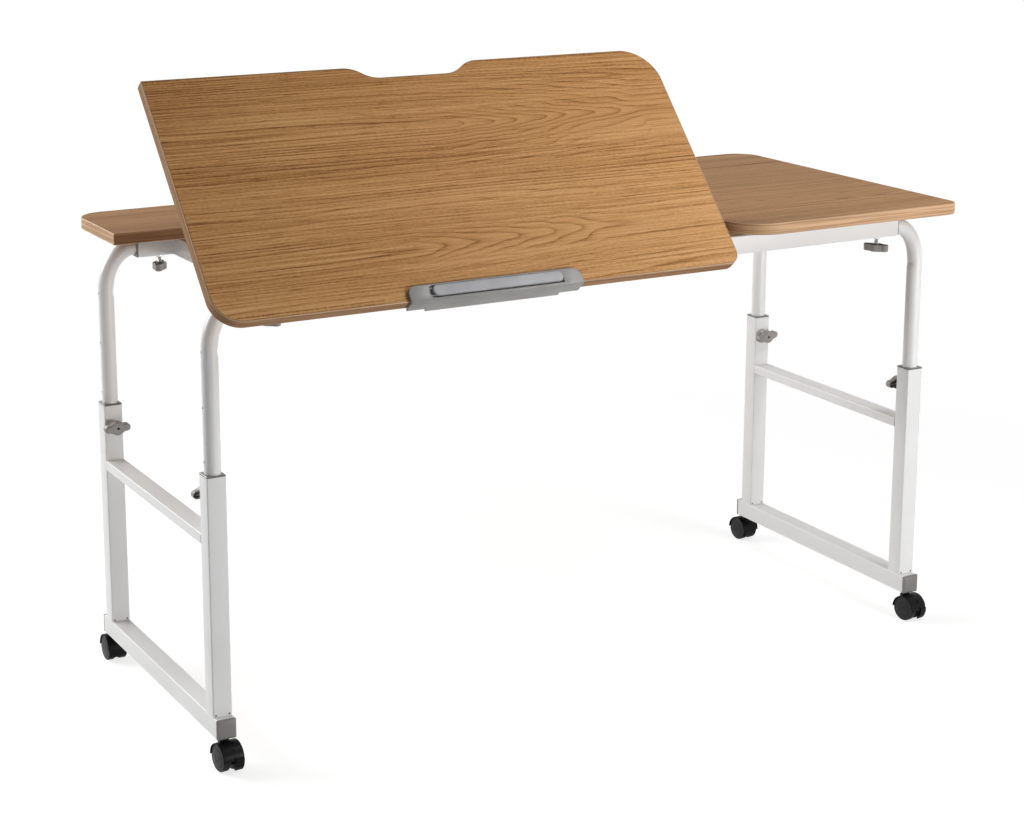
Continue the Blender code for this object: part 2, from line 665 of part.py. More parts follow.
def hood_mesh(name, with_brake):
    """A half-round hood over both wheels, with a middle web, an axle and a swivel stem.

    Built about the swivel axis, standing on the floor, with the axle behind it. The leading side
    has a lower apron; a braked castor has a pedal over one wheel on the trailing side.
    """
    inside = WHEEL_RADIUS + HOOD_CLEARANCE
    outside = inside + HOOD_WALL
    middle = inside + HOOD_WALL / 2
    half_width = HOOD_WEB / 2 + RUNNING_GAP + WHEEL_WIDTH + HOOD_OVERLAP
    angles = [math.pi * step / ROUND_SIDES for step in range(ROUND_SIDES + 1)]
    arch = [Vector((math.cos(angle), math.sin(angle))) * outside for angle in angles]
    keel_half = inside * KEEL_SHARE
    keel = rounded_outline([
        (-keel_half, AXLE_RADIUS, 0), (-AXLE_RADIUS, -2 * AXLE_RADIUS, 0),
        (AXLE_RADIUS, -2 * AXLE_RADIUS, 0), (keel_half, AXLE_RADIUS, 0),
    ])
    hood = extrude(name, [arch], -half_width, half_width, BLACK_PLASTIC, ALONG_X)
    apron_half = half_width - APRON_SIDE_INSET
    apron_band = arc_band(inside / 2, middle, APRON_START, APRON_END)
    extras = [
        extrude("apron", [apron_band], -apron_half, apron_half, None, ALONG_X),
        extrude("keel", [keel], -HOOD_WEB / 2, HOOD_WEB / 2, None, ALONG_X),
    ]
    if with_brake:
        pedal = arc_band(middle, inside + BRAKE_THICKNESS, BRAKE_LOW, BRAKE_HIGH)
        extras.append(extrude("pedal", [pedal], HOOD_WALL - half_width, -HOOD_WEB / 2, None, ALONG_X))
    boss_top = CASTOR_HEIGHT - SEAT_GAP - WHEEL_RADIUS
    boss = cylinder("boss", HOOD_BOSS_RADIUS, AXLE_RADIUS, boss_top, None)
    stem_low = boss_top - HOOD_WALL
    stem = cylinder("stem", STEM_RADIUS, stem_low, boss_top + STEM_LENGTH, None, sides=PIN_SIDES)
    for post in (boss, stem):
        post.location.y = -CASTOR_TRAIL
    combine(hood, extras + [boss, stem], "UNION")
    wells = []
    for sign in SIDES.values():
        near, far = sorted((sign * HOOD_WEB / 2, sign * 2 * half_width))
        wells.append(extrude("well", [bore(inside)], near, far, None, ALONG_X))
    combine(hood, wells, "DIFFERENCE")
    axle_half = HOOD_WEB / 2 + AXLE_GRIP
    axle = cylinder("axle", AXLE_RADIUS, -axle_half, axle_half, None, ALONG_X, PIN_SIDES)
    combine(hood, [axle], "UNION")
    hood.data.transform(Matrix.Translation((0, CASTOR_TRAIL, WHEEL_RADIUS)))
    smooth(hood)
    return hood


def wheel_mesh():
    """One wheel of a twin castor: domed outside, with a blind bore for the axle."""
    inner = 0
    outer = WHEEL_WIDTH
    bore_radius = AXLE_RADIUS + RUNNING_GAP
    bore_end = AXLE_GRIP
    profile = [
        (0, outer),
        (WHEEL_RADIUS * CROWN_REACH, outer - WHEEL_DOME * CROWN_FALL),
        (WHEEL_RADIUS - WHEEL_SHOULDER, outer - WHEEL_DOME),
        (WHEEL_RADIUS, outer - WHEEL_DOME - WHEEL_SHOULDER),
        (WHEEL_RADIUS, inner + WHEEL_SHOULDER),
        (WHEEL_RADIUS - WHEEL_SHOULDER, inner),
        (bore_radius, inner),
        (bore_radius, bore_end),
        (0, bore_end),
    ]
    wheel = turned("wheel", profile, WHEEL_PLASTIC, ALONG_X)
    smooth(wheel)
    return wheel


def build_castors():
    """Hooded twin-wheel castors under the floor bar ends."""
    hoods = {"front": hood_mesh("braked_hood", True), "rear": hood_mesh("plain_hood", False)}
    wheel = wheel_mesh()
    wheel_start = HOOD_WEB / 2 + RUNNING_GAP
    for end, y_sign in ENDS.items():
        for side, x_sign in SIDES.items():
            corner = f"{end}_{side}"
            stem_y = y_sign * (BAR_END - CASTOR_FROM_BAR_END)
            swivel = bpy.data.objects.new(f"castor_swivel_{corner}", None)
            DESK.objects.link(swivel)
            swivel.location = (x_sign * LEG_SPAN_X / 2, stem_y, 0)
            swivel.rotation_euler.z = math.radians(CASTOR_YAWS[corner])
            copy_object(hoods[end], f"castor_hood_{corner}", Matrix.Identity(4)).parent = swivel
            for letter, turn in (("a", 0), ("b", math.pi)):
                spun = Matrix.Translation((0, CASTOR_TRAIL, WHEEL_RADIUS)) @ Matrix.Rotation(turn, 4, "Z")
                place = spun @ Matrix.Translation((wheel_start, 0, 0))
                copy_object(wheel, f"castor_wheel_{corner}_{letter}", place).parent = swivel
    for source in (*hoods.values(), wheel):
        bpy.data.objects.remove(source, do_unlink=True)


def build_tilt_hinges(pivot):
    """Two hinges on the front rail: a fixed base with its pin, and a long arm under the panel."""
    rail_front = PIVOT_AHEAD
    plate_low = SEAT_GAP - PIVOT_RISE
    plate_high = plate_low + HINGE_PLATE
    tongue = BASE_KNUCKLE_LENGTH / 2
    pin_half = tongue + RUNNING_GAP + ARM_KNUCKLE_LENGTH
    arm_top = PIVOT_DROP - BOARD_THICKNESS - SEAT_GAP
    arm_half = tongue + RUNNING_GAP + ARM_KNUCKLE_LENGTH
    for side, x_sign in SIDES.items():
        x = TILT_MIDDLE + x_sign * HINGE_SPREAD / 2
        half_base = HINGE_BASE_WIDTH / 2
        base = box(f"tilt_hinge_base_{side}", (-half_base, rail_front, plate_low),
                   (half_base, rail_front + TUBE, plate_high), HINGE_STEEL)
        neck = box("neck", (-tongue, 0, plate_low), (tongue, rail_front + HINGE_PLATE, plate_high), None)
        knuckle = cylinder("knuckle", BASE_KNUCKLE_RADIUS, -tongue, tongue, None, ALONG_X)
        pin = cylinder("pin", HINGE_PIN_RADIUS, -pin_half, pin_half, None, ALONG_X, PIN_SIDES)
        combine(base, [neck, knuckle, pin], "UNION")
        base.location = (x, PIVOT_Y, PIVOT_Z)
        arm = box(f"tilt_hinge_arm_{side}", (-arm_half, 0, arm_top - HINGE_PLATE),
                  (arm_half, ARM_LENGTH, arm_top), HINGE_STEEL)
        knuckles = []
        for sign in (-1, 1):
            inner, outer = sorted((sign * (tongue + RUNNING_GAP), sign * arm_half))
            knuckles.append(cylinder("arm_knuckle", ARM_KNUCKLE_RADIUS, inner, outer, None, ALONG_X))
        combine(arm, knuckles, "UNION")
        eye_loop = bore(HINGE_PIN_RADIUS + RUNNING_GAP)
        eye = extrude("eye", [eye_loop], -2 * arm_half, 2 * arm_half, None, ALONG_X)
        combine(arm, [eye], "DIFFERENCE")
        ride(arm, pivot, (x, 0, 0))


def build_tilt_rests():
    """Rubber buttons on the cross members that the panel lies on when it is folded flat."""
    rest_low = RAIL_TOP + SEAT_GAP
    rest_high = TOP_UNDERSIDE - SEAT_GAP
    for side, x in (("left", CROSS_LEFT), ("right", CROSS_MIDDLE)):
        rest = cylinder(f"tilt_rest_{side}", REST_RADIUS, rest_low, rest_high, REST_RUBBER)
        rest.location = (x, STRIP_FRONT - REST_SETBACK, 0)
        smooth(rest)


def build_book_stop(pivot):
    """A clip over the panel's front edge with a pocket that holds a flip-up flap."""
    half = STOP_WIDTH / 2
    front = -SEAT_GAP - STOP_LIP_THICKNESS
    plate_top = SEAT_GAP + STOP_PLATE_THICKNESS
    skirt_low = -BOARD_THICKNESS - STOP_SKIRT_DROP
    section = rounded_outline([
        (front, skirt_low, 0), (-SEAT_GAP, skirt_low, 0), (-SEAT_GAP, SEAT_GAP, 0),
        (STOP_WIDTH, SEAT_GAP, 0), (STOP_WIDTH, plate_top, 0), (front, plate_top, 0),
    ])
    base = extrude("book_stop_base", [section], -STOP_WIDTH, STOP_WIDTH, STOP_PLASTIC, ALONG_X)
    plan_outline = rounded_outline([
        (-half, 2 * front, 0), (half, 2 * front, 0),
        (half, STOP_PLATE_DEPTH, STOP_CORNER), (-half, STOP_PLATE_DEPTH, STOP_CORNER),
    ])
    plan = extrude("plan", [plan_outline], 2 * skirt_low, 2 * plate_top, None)
    combine(base, [plan], "INTERSECT")
    trims = []
    for sign in SIDES.values():
        near, far = sorted((sign * STOP_SKIRT_WIDTH / 2, sign * STOP_WIDTH))
        trim_top = -BOARD_THICKNESS - STOP_LIP_DROP
        trims.append(box("trim", (near, 2 * front, 2 * skirt_low), (far, -front, trim_top), None))
    combine(base, trims, "DIFFERENCE")
    flap_middle = FINGER_GAP / 2
    pocket_left = flap_middle - FLAP_LENGTH / 2 - FINGER_GAP
    pocket_right = flap_middle + FLAP_LENGTH / 2 + 2 * RUNNING_GAP
    pocket_front = FLAP_SETBACK - FLAP_POCKET_MARGIN
    pocket_rear = FLAP_SETBACK + FLAP_DEPTH + 2 * RUNNING_GAP
    pocket_floor = SEAT_GAP + FLAP_POCKET_FLOOR
    pocket_outline = rounded_outline([
        (pocket_left, pocket_front, FLAP_CORNER), (pocket_right, pocket_front, FLAP_POCKET_CORNER),
        (pocket_right, pocket_rear, FLAP_CORNER), (pocket_left, pocket_rear, FLAP_CORNER),
    ], SMALL_CORNER_STEPS)
    pocket = extrude("pocket", [pocket_outline], pocket_floor, 2 * plate_top, None)
    pin_bore = extrude("pin_bore", [bore(FLAP_PIN_RADIUS + RUNNING_GAP, PIN_SIDES)],
                       pocket_left - FLAP_PIN_BITE - RUNNING_GAP,
                       pocket_right + FLAP_PIN_BITE + RUNNING_GAP, None, ALONG_X)
    axis_height = SEAT_GAP + FLAP_AXIS_RISE
    pin_bore.location = (0, FLAP_AXIS_SETBACK, axis_height)
    combine(base, [pocket, pin_bore], "DIFFERENCE")
    middle = TILT_MIDDLE + STOP_OFFSET
    ride(base, pivot, (middle, -PIVOT_SETBACK, PIVOT_DROP))
    flap_low = FLAP_POCKET_FLOOR + RUNNING_GAP - FLAP_AXIS_RISE
    flap_front = FLAP_SETBACK - FLAP_AXIS_SETBACK
    flap_rear = flap_front + FLAP_DEPTH
    left, right = flap_middle - FLAP_LENGTH / 2, flap_middle + FLAP_LENGTH / 2
    flap_outline = rounded_outline([
        (left, flap_front, FLAP_CORNER), (right, flap_front, FLAP_CORNER),
        (right, flap_rear, FLAP_CORNER), (left, flap_rear, FLAP_CORNER),
    ], SMALL_CORNER_STEPS)
    flap = cushion("book_stop_flap", flap_outline, flap_low, flap_low + FLAP_THICKNESS,
                   FLAP_ROUND, FLAP_ROUND_STEPS, FLAP_PLASTIC)
    pin = cylinder("flap_pin", FLAP_PIN_RADIUS, pocket_left - FLAP_PIN_BITE,
                   pocket_right + FLAP_PIN_BITE, None, ALONG_X, PIN_SIDES)
    combine(flap, [pin], "UNION")
    ride(flap, pivot, (middle, FLAP_AXIS_SETBACK - PIVOT_SETBACK, PIVOT_DROP + axis_height))
    smooth(flap)


def build_desk():
    build_fixed_top()
    build_top_frame()
    build_collars()
    build_uprights()
    build_side_frames()
    build_bar_caps()
    build_knobs()
    build_castors()
    pivot = bpy.data.objects.new("tilt_pivot", None)
    DESK.objects.link(pivot)
    pivot.location = (0, PIVOT_Y, PIVOT_Z)
    pivot.rotation_euler.x = TILT_ANGLE
    build_tilt_panel(pivot)
    build_tilt_hinges(pivot)
    build_tilt_rests()
    build_book_stop(pivot)


build_desk()
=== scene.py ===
"""Looks of the mobile computer desk: detailed pieces, finishes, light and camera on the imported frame."""

import json
from math import copysign, cos, e as EULER, exp, pi, radians, sin, sqrt, tan

import bmesh
import bpy
from mathutils import Matrix, Vector

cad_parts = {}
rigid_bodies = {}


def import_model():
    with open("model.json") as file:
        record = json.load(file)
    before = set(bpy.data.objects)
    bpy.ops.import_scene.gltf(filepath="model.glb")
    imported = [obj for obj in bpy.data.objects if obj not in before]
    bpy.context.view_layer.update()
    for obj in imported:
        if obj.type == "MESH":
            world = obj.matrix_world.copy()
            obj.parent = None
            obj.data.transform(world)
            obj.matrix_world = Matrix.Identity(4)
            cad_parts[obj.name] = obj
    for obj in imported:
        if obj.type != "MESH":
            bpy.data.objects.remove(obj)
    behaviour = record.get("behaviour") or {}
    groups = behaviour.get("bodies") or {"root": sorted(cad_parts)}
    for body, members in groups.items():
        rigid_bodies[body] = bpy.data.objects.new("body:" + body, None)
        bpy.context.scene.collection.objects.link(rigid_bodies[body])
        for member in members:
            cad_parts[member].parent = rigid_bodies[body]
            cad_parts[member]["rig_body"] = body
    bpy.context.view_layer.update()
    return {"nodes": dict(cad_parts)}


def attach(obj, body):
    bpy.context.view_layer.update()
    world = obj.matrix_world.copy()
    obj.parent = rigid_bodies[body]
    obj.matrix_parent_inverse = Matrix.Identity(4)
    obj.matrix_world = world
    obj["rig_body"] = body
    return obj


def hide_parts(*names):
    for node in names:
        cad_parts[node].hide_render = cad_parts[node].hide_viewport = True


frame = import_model()

QUARTER = pi / 2


def at(x, y, z):
    return Matrix.Translation((x, y, z))


def spun(angle, axis):
    return Matrix.Rotation(angle, 4, axis)


def quarter(steps):
    """(1 - sine, 1 - cosine) pairs through a quarter turn, for fillets and bends."""
    return [(1 - sin(QUARTER * k / steps), 1 - cos(QUARTER * k / steps)) for k in range(steps + 1)]


# Sizes shared with the part, in metres

BOARD = 0.018
TOP_LEFT, TOP_RIGHT, TOP_FRONT = -0.65, 0.65, -0.3
TOP_REAR = 0.2999  # a hair inside the CAD box
STRIP_FRONT = 0.11
RIGHT_PANEL_LEFT = 0.22
TILT_RIGHT = 0.217
TILT_DEPTH = 0.407
TILT_MIDDLE = (TOP_LEFT + TILT_RIGHT) / 2
TOP_UNDERSIDE = 0.715
NOTCH_MOUTH, NOTCH_FLOOR, NOTCH_DEPTH, NOTCH_RADIUS = 0.197, 0.143, 0.021, 0.048
ARRIS = 0.0015
GLUE_LINE = 0.0005

TUBE, TUBE_WALL, TUBE_CORNER = 0.03, 0.0012, 0.0022
LEG_X, RAIL_Y = 0.63, 0.215
BAR_BASE, LEG_BASE, LEG_TOP = 0.048, 0.078, 0.442
RAIL_AXIS, RAIL_TOP = 0.688, 0.703
RAIL_END, RAIL_HALF = 0.582, 0.5792
COLLAR, SLEEVE = 0.0025, 0.02
BAR_HALF, BAR_CAP = 0.2397, 0.005
CROSS_X = {"left": -0.507, "middle": 0.19, "right": 0.507}
FRONT_RISER = 0.32
RISER = Vector((0.05, 0.026, 0.012))
RUNG_LOW, RUNG_HEIGHT, RUNG_CORNER = 0.334, 0.016, 0.002
UPRIGHT_RADIUS, UPRIGHT_WALL = 0.0125, 0.0012
BEND_REACH, BEND_DROP = 0.048, 0.066
IN_RAIL, IN_LEG, HEIGHT_SET = 0.25, 0.21, 0.246

KNOB_HALF, KNOB_HUB, KNOB_WING, KNOB_SPREAD, KNOB_TALL = 0.021, 0.0115, 0.0062, 0.0135, 0.0115
KNOB_WALL, KNOB_FACE, KNOB_BOSS = 0.0016, 0.003, 0.0052
HEIGHT_STANDOFF, WIDTH_STANDOFF = 0.0095, 0.0135
KNOB_DROP = 0.0355
KNOB_FROM_END = {"left": 0.0425, "right": 0.035}
HEIGHT_TURNS = {"front_left": -8, "front_right": -4, "rear_left": 2, "rear_right": 12}
WIDTH_TURNS = {"front_left": 60, "front_right": 60, "rear_left": -64, "rear_right": 20}
SCREW_RADIUS = 0.003
SCREW_TIP = -0.0022

STEM_Y, TRAIL = 0.2315, 0.009
WHEEL_RADIUS, WHEEL_WIDTH, WHEEL_START = 0.0205, 0.0132, 0.0033
HOOD_IN, HOOD_OUT, HOOD_HALF, HOOD_WEB = 0.021, 0.0226, 0.017, 0.003
CASTOR_YAWS = {"front_left": 185, "front_right": 189, "rear_left": 0, "rear_right": 4}

PIVOT_Y, PIVOT_Z = -0.238, 0.706
PIVOT_SETBACK, PIVOT_DROP = 0.062, 0.027
TILT_ANGLE = radians(48)
HINGE_SPREAD = 0.43
STOP_MIDDLE = TILT_MIDDLE + 0.0025
SEAT = 0.0003

SIDES = {"left": -1, "right": 1}
ENDS = {"front": -1, "rear": 1}
CORNERS = [(f"{end}_{side}", side, x_sign, y_sign)
           for end, y_sign in ENDS.items() for side, x_sign in SIDES.items()]
ALONG_X = Matrix(((0, 0, 1, 0), (1, 0, 0, 0), (0, 1, 0, 0), (0, 0, 0, 1)))
ALONG_Y = spun(QUARTER, "X")
TILT = at(0, PIVOT_Y, PIVOT_Z) @ spun(TILT_ANGLE, "X")
ON_PANEL = TILT @ at(0, -PIVOT_SETBACK, PIVOT_DROP - BOARD)


# Mesh making

def linked(name, data):
    """A new object in the scene."""
    made = bpy.data.objects.new(name, data)
    bpy.context.scene.collection.objects.link(made)
    return made


def put(target, **values):
    """The target with some of its properties set."""
    for key, value in values.items():
        setattr(target, key, value)
    return target


class Shape:
    """The lofted parts of one piece, with a finish number and UVs in metres for each face."""

    def __init__(self):
        self.verts, self.faces, self.finishes, self.uvs = [], [], [], []

    def face(self, corners, finish, uvs):
        self.faces.append(corners)
        self.finishes.append(finish)
        self.uvs.append(uvs)

    def loft(self, rings, finish=0, closed=False, place=None, bands=None):
        """Skin between rings of equal length, capped unless closed. bands gives a finish for each gap."""
        place = place or Matrix.Identity(4)
        rings = [[Vector(p) for p in ring] for ring in rings]
        count = len(rings[0])
        base = len(self.verts)
        for ring in rings:
            self.verts += [place @ p for p in ring]
        around, along = [0.0], [0.0]
        for k in range(count):
            around.append(around[-1] + (rings[0][(k + 1) % count] - rings[0][k]).length)
        for a, b in zip(rings, rings[1:] + rings[:1]):
            along.append(along[-1] + (b[0] - a[0]).length)
        for i in range(len(rings) if closed else len(rings) - 1):
            low = base + i * count
            high = base + ((i + 1) % len(rings)) * count
            for k in range(count):
                n = (k + 1) % count
                self.face((low + k, low + n, high + n, high + k), bands[i] if bands else finish,
                          ((around[k], along[i]), (around[k + 1], along[i]),
                           (around[k + 1], along[i + 1]), (around[k], along[i + 1])))
        if closed:
            return
        for ring, start in ((rings[0], base), (rings[-1], base + (len(rings) - 1) * count)):
            self.face(tuple(range(start, start + count)), finish, tuple((p.x, p.y) for p in ring))

    def make(self, name, finishes, place=None, angle=38):
        mesh = bpy.data.meshes.new(name)
        mesh.from_pydata(self.verts, [], self.faces)
        layer = mesh.uv_layers.new(name="metres")
        for polygon, finish, corners in zip(mesh.polygons, self.finishes, self.uvs):
            polygon.material_index = finish
            for loop, uv in zip(polygon.loop_indices, corners):
                layer.data[loop].uv = uv
        for material in finishes:
            mesh.materials.append(material)
        if place:
            mesh.transform(place)
        tidy(mesh, angle)
        return linked(name, mesh)


def tidy(mesh, angle):
    """Weld, face outward, and smooth all but the sharp edges."""
    work = bmesh.new()
    work.from_mesh(mesh)
    bmesh.ops.remove_doubles(work, verts=work.verts, dist=2e-6)
    bmesh.ops.recalc_face_normals(work, faces=work.faces)
    work.to_mesh(mesh)
    work.free()
    smooth(mesh, angle)


def smooth(mesh, angle):
    mesh.shade_smooth()
    mesh.set_sharp_from_angle(angle=radians(angle))


def settle(piece, node):
    """The piece joins the CAD node's body, and the node is hidden."""
    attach(piece, frame["nodes"][node]["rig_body"])
    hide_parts(node)


def add_on(piece, body):
    """A small extra piece on a body."""
    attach(piece, body)


def rounded(corners, steps):
    """A closed outline from (x, y, radius) corners."""
    points = []
    for index, (x, y, radius) in enumerate(corners):
        here = Vector((x, y))
        before = (Vector(corners[index - 1][:2]) - here).normalized()
        after = (Vector(corners[(index + 1) % len(corners)][:2]) - here).normalized()
        if radius == 0:
            points.append(here)
            continue
        half = before.angle(after) / 2
        centre = here + (before + after).normalized() * radius / sin(half)
        spoke = here + before * radius / tan(half) - centre
        sweep = copysign(pi - 2 * half, after.x * before.y - after.y * before.x)
        for step in range(steps + 1):
            points.append(centre + Matrix.Rotation(sweep * step / steps, 2) @ spoke)
    return points


def box(left, right, front, rear, front_radius, rear_radius, steps):
    """A rectangle with one radius on its front corners and another on its rear ones."""
    return rounded([(left, front, front_radius), (right, front, front_radius), (right, rear, rear_radius),
                    (left, rear, rear_radius)], steps)


def rectangle(width, height, radius, steps=6):
    x, y = width / 2, height / 2
    return box(-x, x, -y, y, radius, radius, steps)


def bearings(sides):
    return [2 * pi * k / sides for k in range(sides)]


def circle(radius, sides):
    return [Vector((radius * cos(a), radius * sin(a))) for a in bearings(sides)]


def square_ring(half, radius, sides):
    """A rounded square with its points spread evenly by angle, to pair with a circle."""
    points = []
    core = half - radius
    for ray in circle(1.0, sides):
        point = ray * half / max(abs(ray.x), abs(ray.y))
        if abs(point.x) > core and abs(point.y) > core:
            centre = Vector((copysign(core, ray.x), copysign(core, ray.y)))
            reach = ray.dot(centre)
            point = ray * (reach + sqrt(reach ** 2 - centre.length_squared + radius ** 2))
        points.append(point)
    return points


def inset(loop, amount):
    """The counter-clockwise loop moved inward, with a limit at sharp corners."""
    least_spread = 0.35
    moved = []
    for k, here in enumerate(loop):
        into = (here - loop[k - 1]).normalized()
        out = (loop[(k + 1) % len(loop)] - here).normalized()
        left = Vector((-into.y - out.y, into.x + out.x)).normalized()
        spread = max(least_spread, sqrt(max(0.0, (1 + into.dot(out)) / 2)))
        moved.append(here + left * amount / spread)
    return moved


def lift(loop, height):
    return [(p.x, p.y, height) for p in loop]


def slab_profile(low, high, arris, steps):
    """(inset, height) pairs up the side of a slab with rounded arrises."""
    below = [(arris * s, low + arris * c) for s, c in quarter(steps)]
    return below + [(i, low + high - z) for i, z in reversed(below)]


def slab(shape, loop, low, high, arris, finish=0, place=None, steps=4):
    rings = [lift(inset(loop, i), z) for i, z in slab_profile(low, high, arris, steps)]
    shape.loft(rings, finish, place=place)


def turn(shape, profile, sides, finish=0, place=None, bands=None):
    """A turned part from (radius, height) pairs about Z."""
    rings = [lift(circle(max(r, 1e-5), sides), z) for r, z in profile]
    shape.loft(rings, finish, place=place, bands=bands)


def pipe(shape, outside, inside, low, high, place):
    """A hollow run along Z between two outlines with as many points."""
    shape.loft([lift(outside, low), lift(outside, high), lift(inside, high), lift(inside, low)],
               closed=True, place=place)


def hollow_tube(low, high, place=None, height=TUBE, corner=TUBE_CORNER):
    """A tube along Z with its wall."""
    shape = Shape()
    outside = rectangle(TUBE, height, corner)
    inside = rectangle(TUBE - 2 * TUBE_WALL, height - 2 * TUBE_WALL, corner - TUBE_WALL)
    pipe(shape, outside, inside, low, high, place)
    return shape


def bead(shape, start, end, radius, side):
    """A run of weld along a straight joint: overlapping scales of slightly uneven size."""
    step_length, scale_length, sides = 0.0007, 0.0021, 10
    start, end, side = Vector(start), Vector(end), Vector(side).normalized()
    run = end - start
    up = run.normalized().cross(side)
    steps = max(8, int(run.length / step_length))
    rings = []
    for k in range(steps + 1):
        share = k / steps
        scale = 0.8 + 0.14 * abs(sin(share * run.length / scale_length * pi))
        scale += 0.06 * sin(share * 23.7 + 1.3)
        taper = sqrt(max(0.02, 1 - (2 * share - 1) ** 12))
        r = radius * scale * taper
        centre = start + run * share
        rings.append([centre + (side * cos(a) + up * sin(a)) * r for a in bearings(sides)])
    shape.loft(rings)


def tack(shape, place):
    """A small tack weld: a low dome with a crater."""
    turn(shape, [(0.0016, -0.0002), (0.0015, 0.0003), (0.0011, 0.0006), (0.0007, 0.0006), (0.0003, 0.0003),
                 (0.0, 0.0002)], 20, 1, place)


def baked(piece):
    """The piece's modifiers become its mesh."""
    bpy.context.view_layer.update()
    mesh = bpy.data.meshes.new_from_object(piece.evaluated_get(bpy.context.evaluated_depsgraph_get()))
    piece.modifiers.clear()
    piece.data = mesh


def carve(piece, tools, operation="DIFFERENCE"):
    for tool in tools:
        put(piece.modifiers.new("carve", "BOOLEAN"), operation=operation, object=tool)
    baked(piece)
    for tool in tools:
        bpy.data.objects.remove(tool, do_unlink=True)


def prism(name, loop, low, high, place=None):
    """A plain closed prism used to shape another piece."""
    shape = Shape()
    shape.loft([lift(loop, low), lift(loop, high)])
    return shape.make(name, [], place)


# Finishes

def feed(tree, socket, value):
    """A value on a socket, or a link to it from a socket or a node's first output."""
    if isinstance(value, bpy.types.Node):
        value = value.outputs[0]
    if isinstance(value, bpy.types.NodeSocket):
        tree.links.new(value, socket)
    else:
        socket.default_value = value


def wire(tree, kind, inputs=None, **settings):
    """A new node with its settings, and a value or a link on each input named."""
    made = put(tree.nodes.new("ShaderNode" + kind), **settings)
    for key, value in (inputs or {}).items():
        feed(tree, made.inputs[key], value)
    return made


class Finish:
    """A procedural material on one Principled shader."""

    def __init__(self, name):
        self.material = bpy.data.materials.new(name)
        self.material.use_nodes = True
        self.tree = self.material.node_tree
        self.shader = self.tree.nodes["Principled BSDF"]

    def coords(self, kind="Object"):
        return wire(self.tree, "TexCoord").outputs[kind]

    def stretch(self, vector, scale, shift=(0, 0, 0)):
        return wire(self.tree, "VectorMath", {0: vector, 1: scale, 2: shift}, operation="MULTIPLY_ADD")

    def math(self, operation, a, b=0):
        return wire(self.tree, "Math", {0: a, 1: b}, operation=operation)

    def add(self, a, b):
        return self.math("ADD", a, b)

    def sub(self, a, b):
        return self.math("SUBTRACT", a, b)

    def mul(self, a, b):
        return self.math("MULTIPLY", a, b)

    def swing(self, value, amount):
        """A noise about its middle value, times an amount."""
        return self.mul(self.sub(value, 0.5), amount)

    def noise(self, vector, scale=1, detail=2, rough=0.5):
        inputs = {"Vector": vector, "Scale": scale, "Detail": detail, "Roughness": rough}
        return wire(self.tree, "TexNoise", inputs)

    def grain(self, vector, along, across, shift=(0, 0), detail=2, rough=0.5):
        """Noise with its own scale along x and across it, per metre."""
        return self.noise(self.stretch(vector, (along, across, 1), (*shift, 0)), detail=detail, rough=rough)

    def span(self, value, low, high, to_low=0, to_high=1):
        inputs = dict(enumerate((value, low, high, to_low, to_high)))
        return wire(self.tree, "MapRange", inputs, interpolation_type="SMOOTHSTEP")

    def ramp(self, value, places, colours):
        made = wire(self.tree, "ValToRGB", {0: value})
        elements = made.color_ramp.elements
        while len(elements) < len(places):
            elements.new(0.5)
        for element, place, colour in zip(elements, places, colours):
            element.position = place
            element.color = (*colour, 1) if isinstance(colour, tuple) else (colour, colour, colour, 1)
        return made

    def mix(self, factor, a, b):
        return wire(self.tree, "Mix", {0: factor, 6: (*a, 1), 7: (*b, 1)}, data_type="RGBA").outputs[2]

    def done(self, colour, gloss, rough_low, rough_high, specular, bump, metallic=0):
        """The material: colour, roughness that follows a noise, and bump as (height, strength, distance)."""
        values = {"Base Color": colour, "Roughness": self.span(gloss, 0.3, 0.7, rough_low, rough_high),
                  "Specular IOR Level": specular, "Metallic": metallic,
                  "Normal": wire(self.tree, "Bump", dict(zip(("Height", "Strength", "Distance"), bump)))}
        for key, value in values.items():
            feed(self.tree, self.shader.inputs[key], value)
        return self.material


LINES = 165  # growth lines per metre across the board
HEART_ROUND = 0.00009  # squared radius that rounds the tip of a fold
RING_STOPS, RING_DEPTHS = (0, 0.45, 0.74, 0.88, 1), (0, 0.1, 0.45, 1, 0)  # one growth line
OAK_STOPS = (0, 0.36, 0.66, 1)
BAND_STOPS = (0.25, 0.55, 0.85)


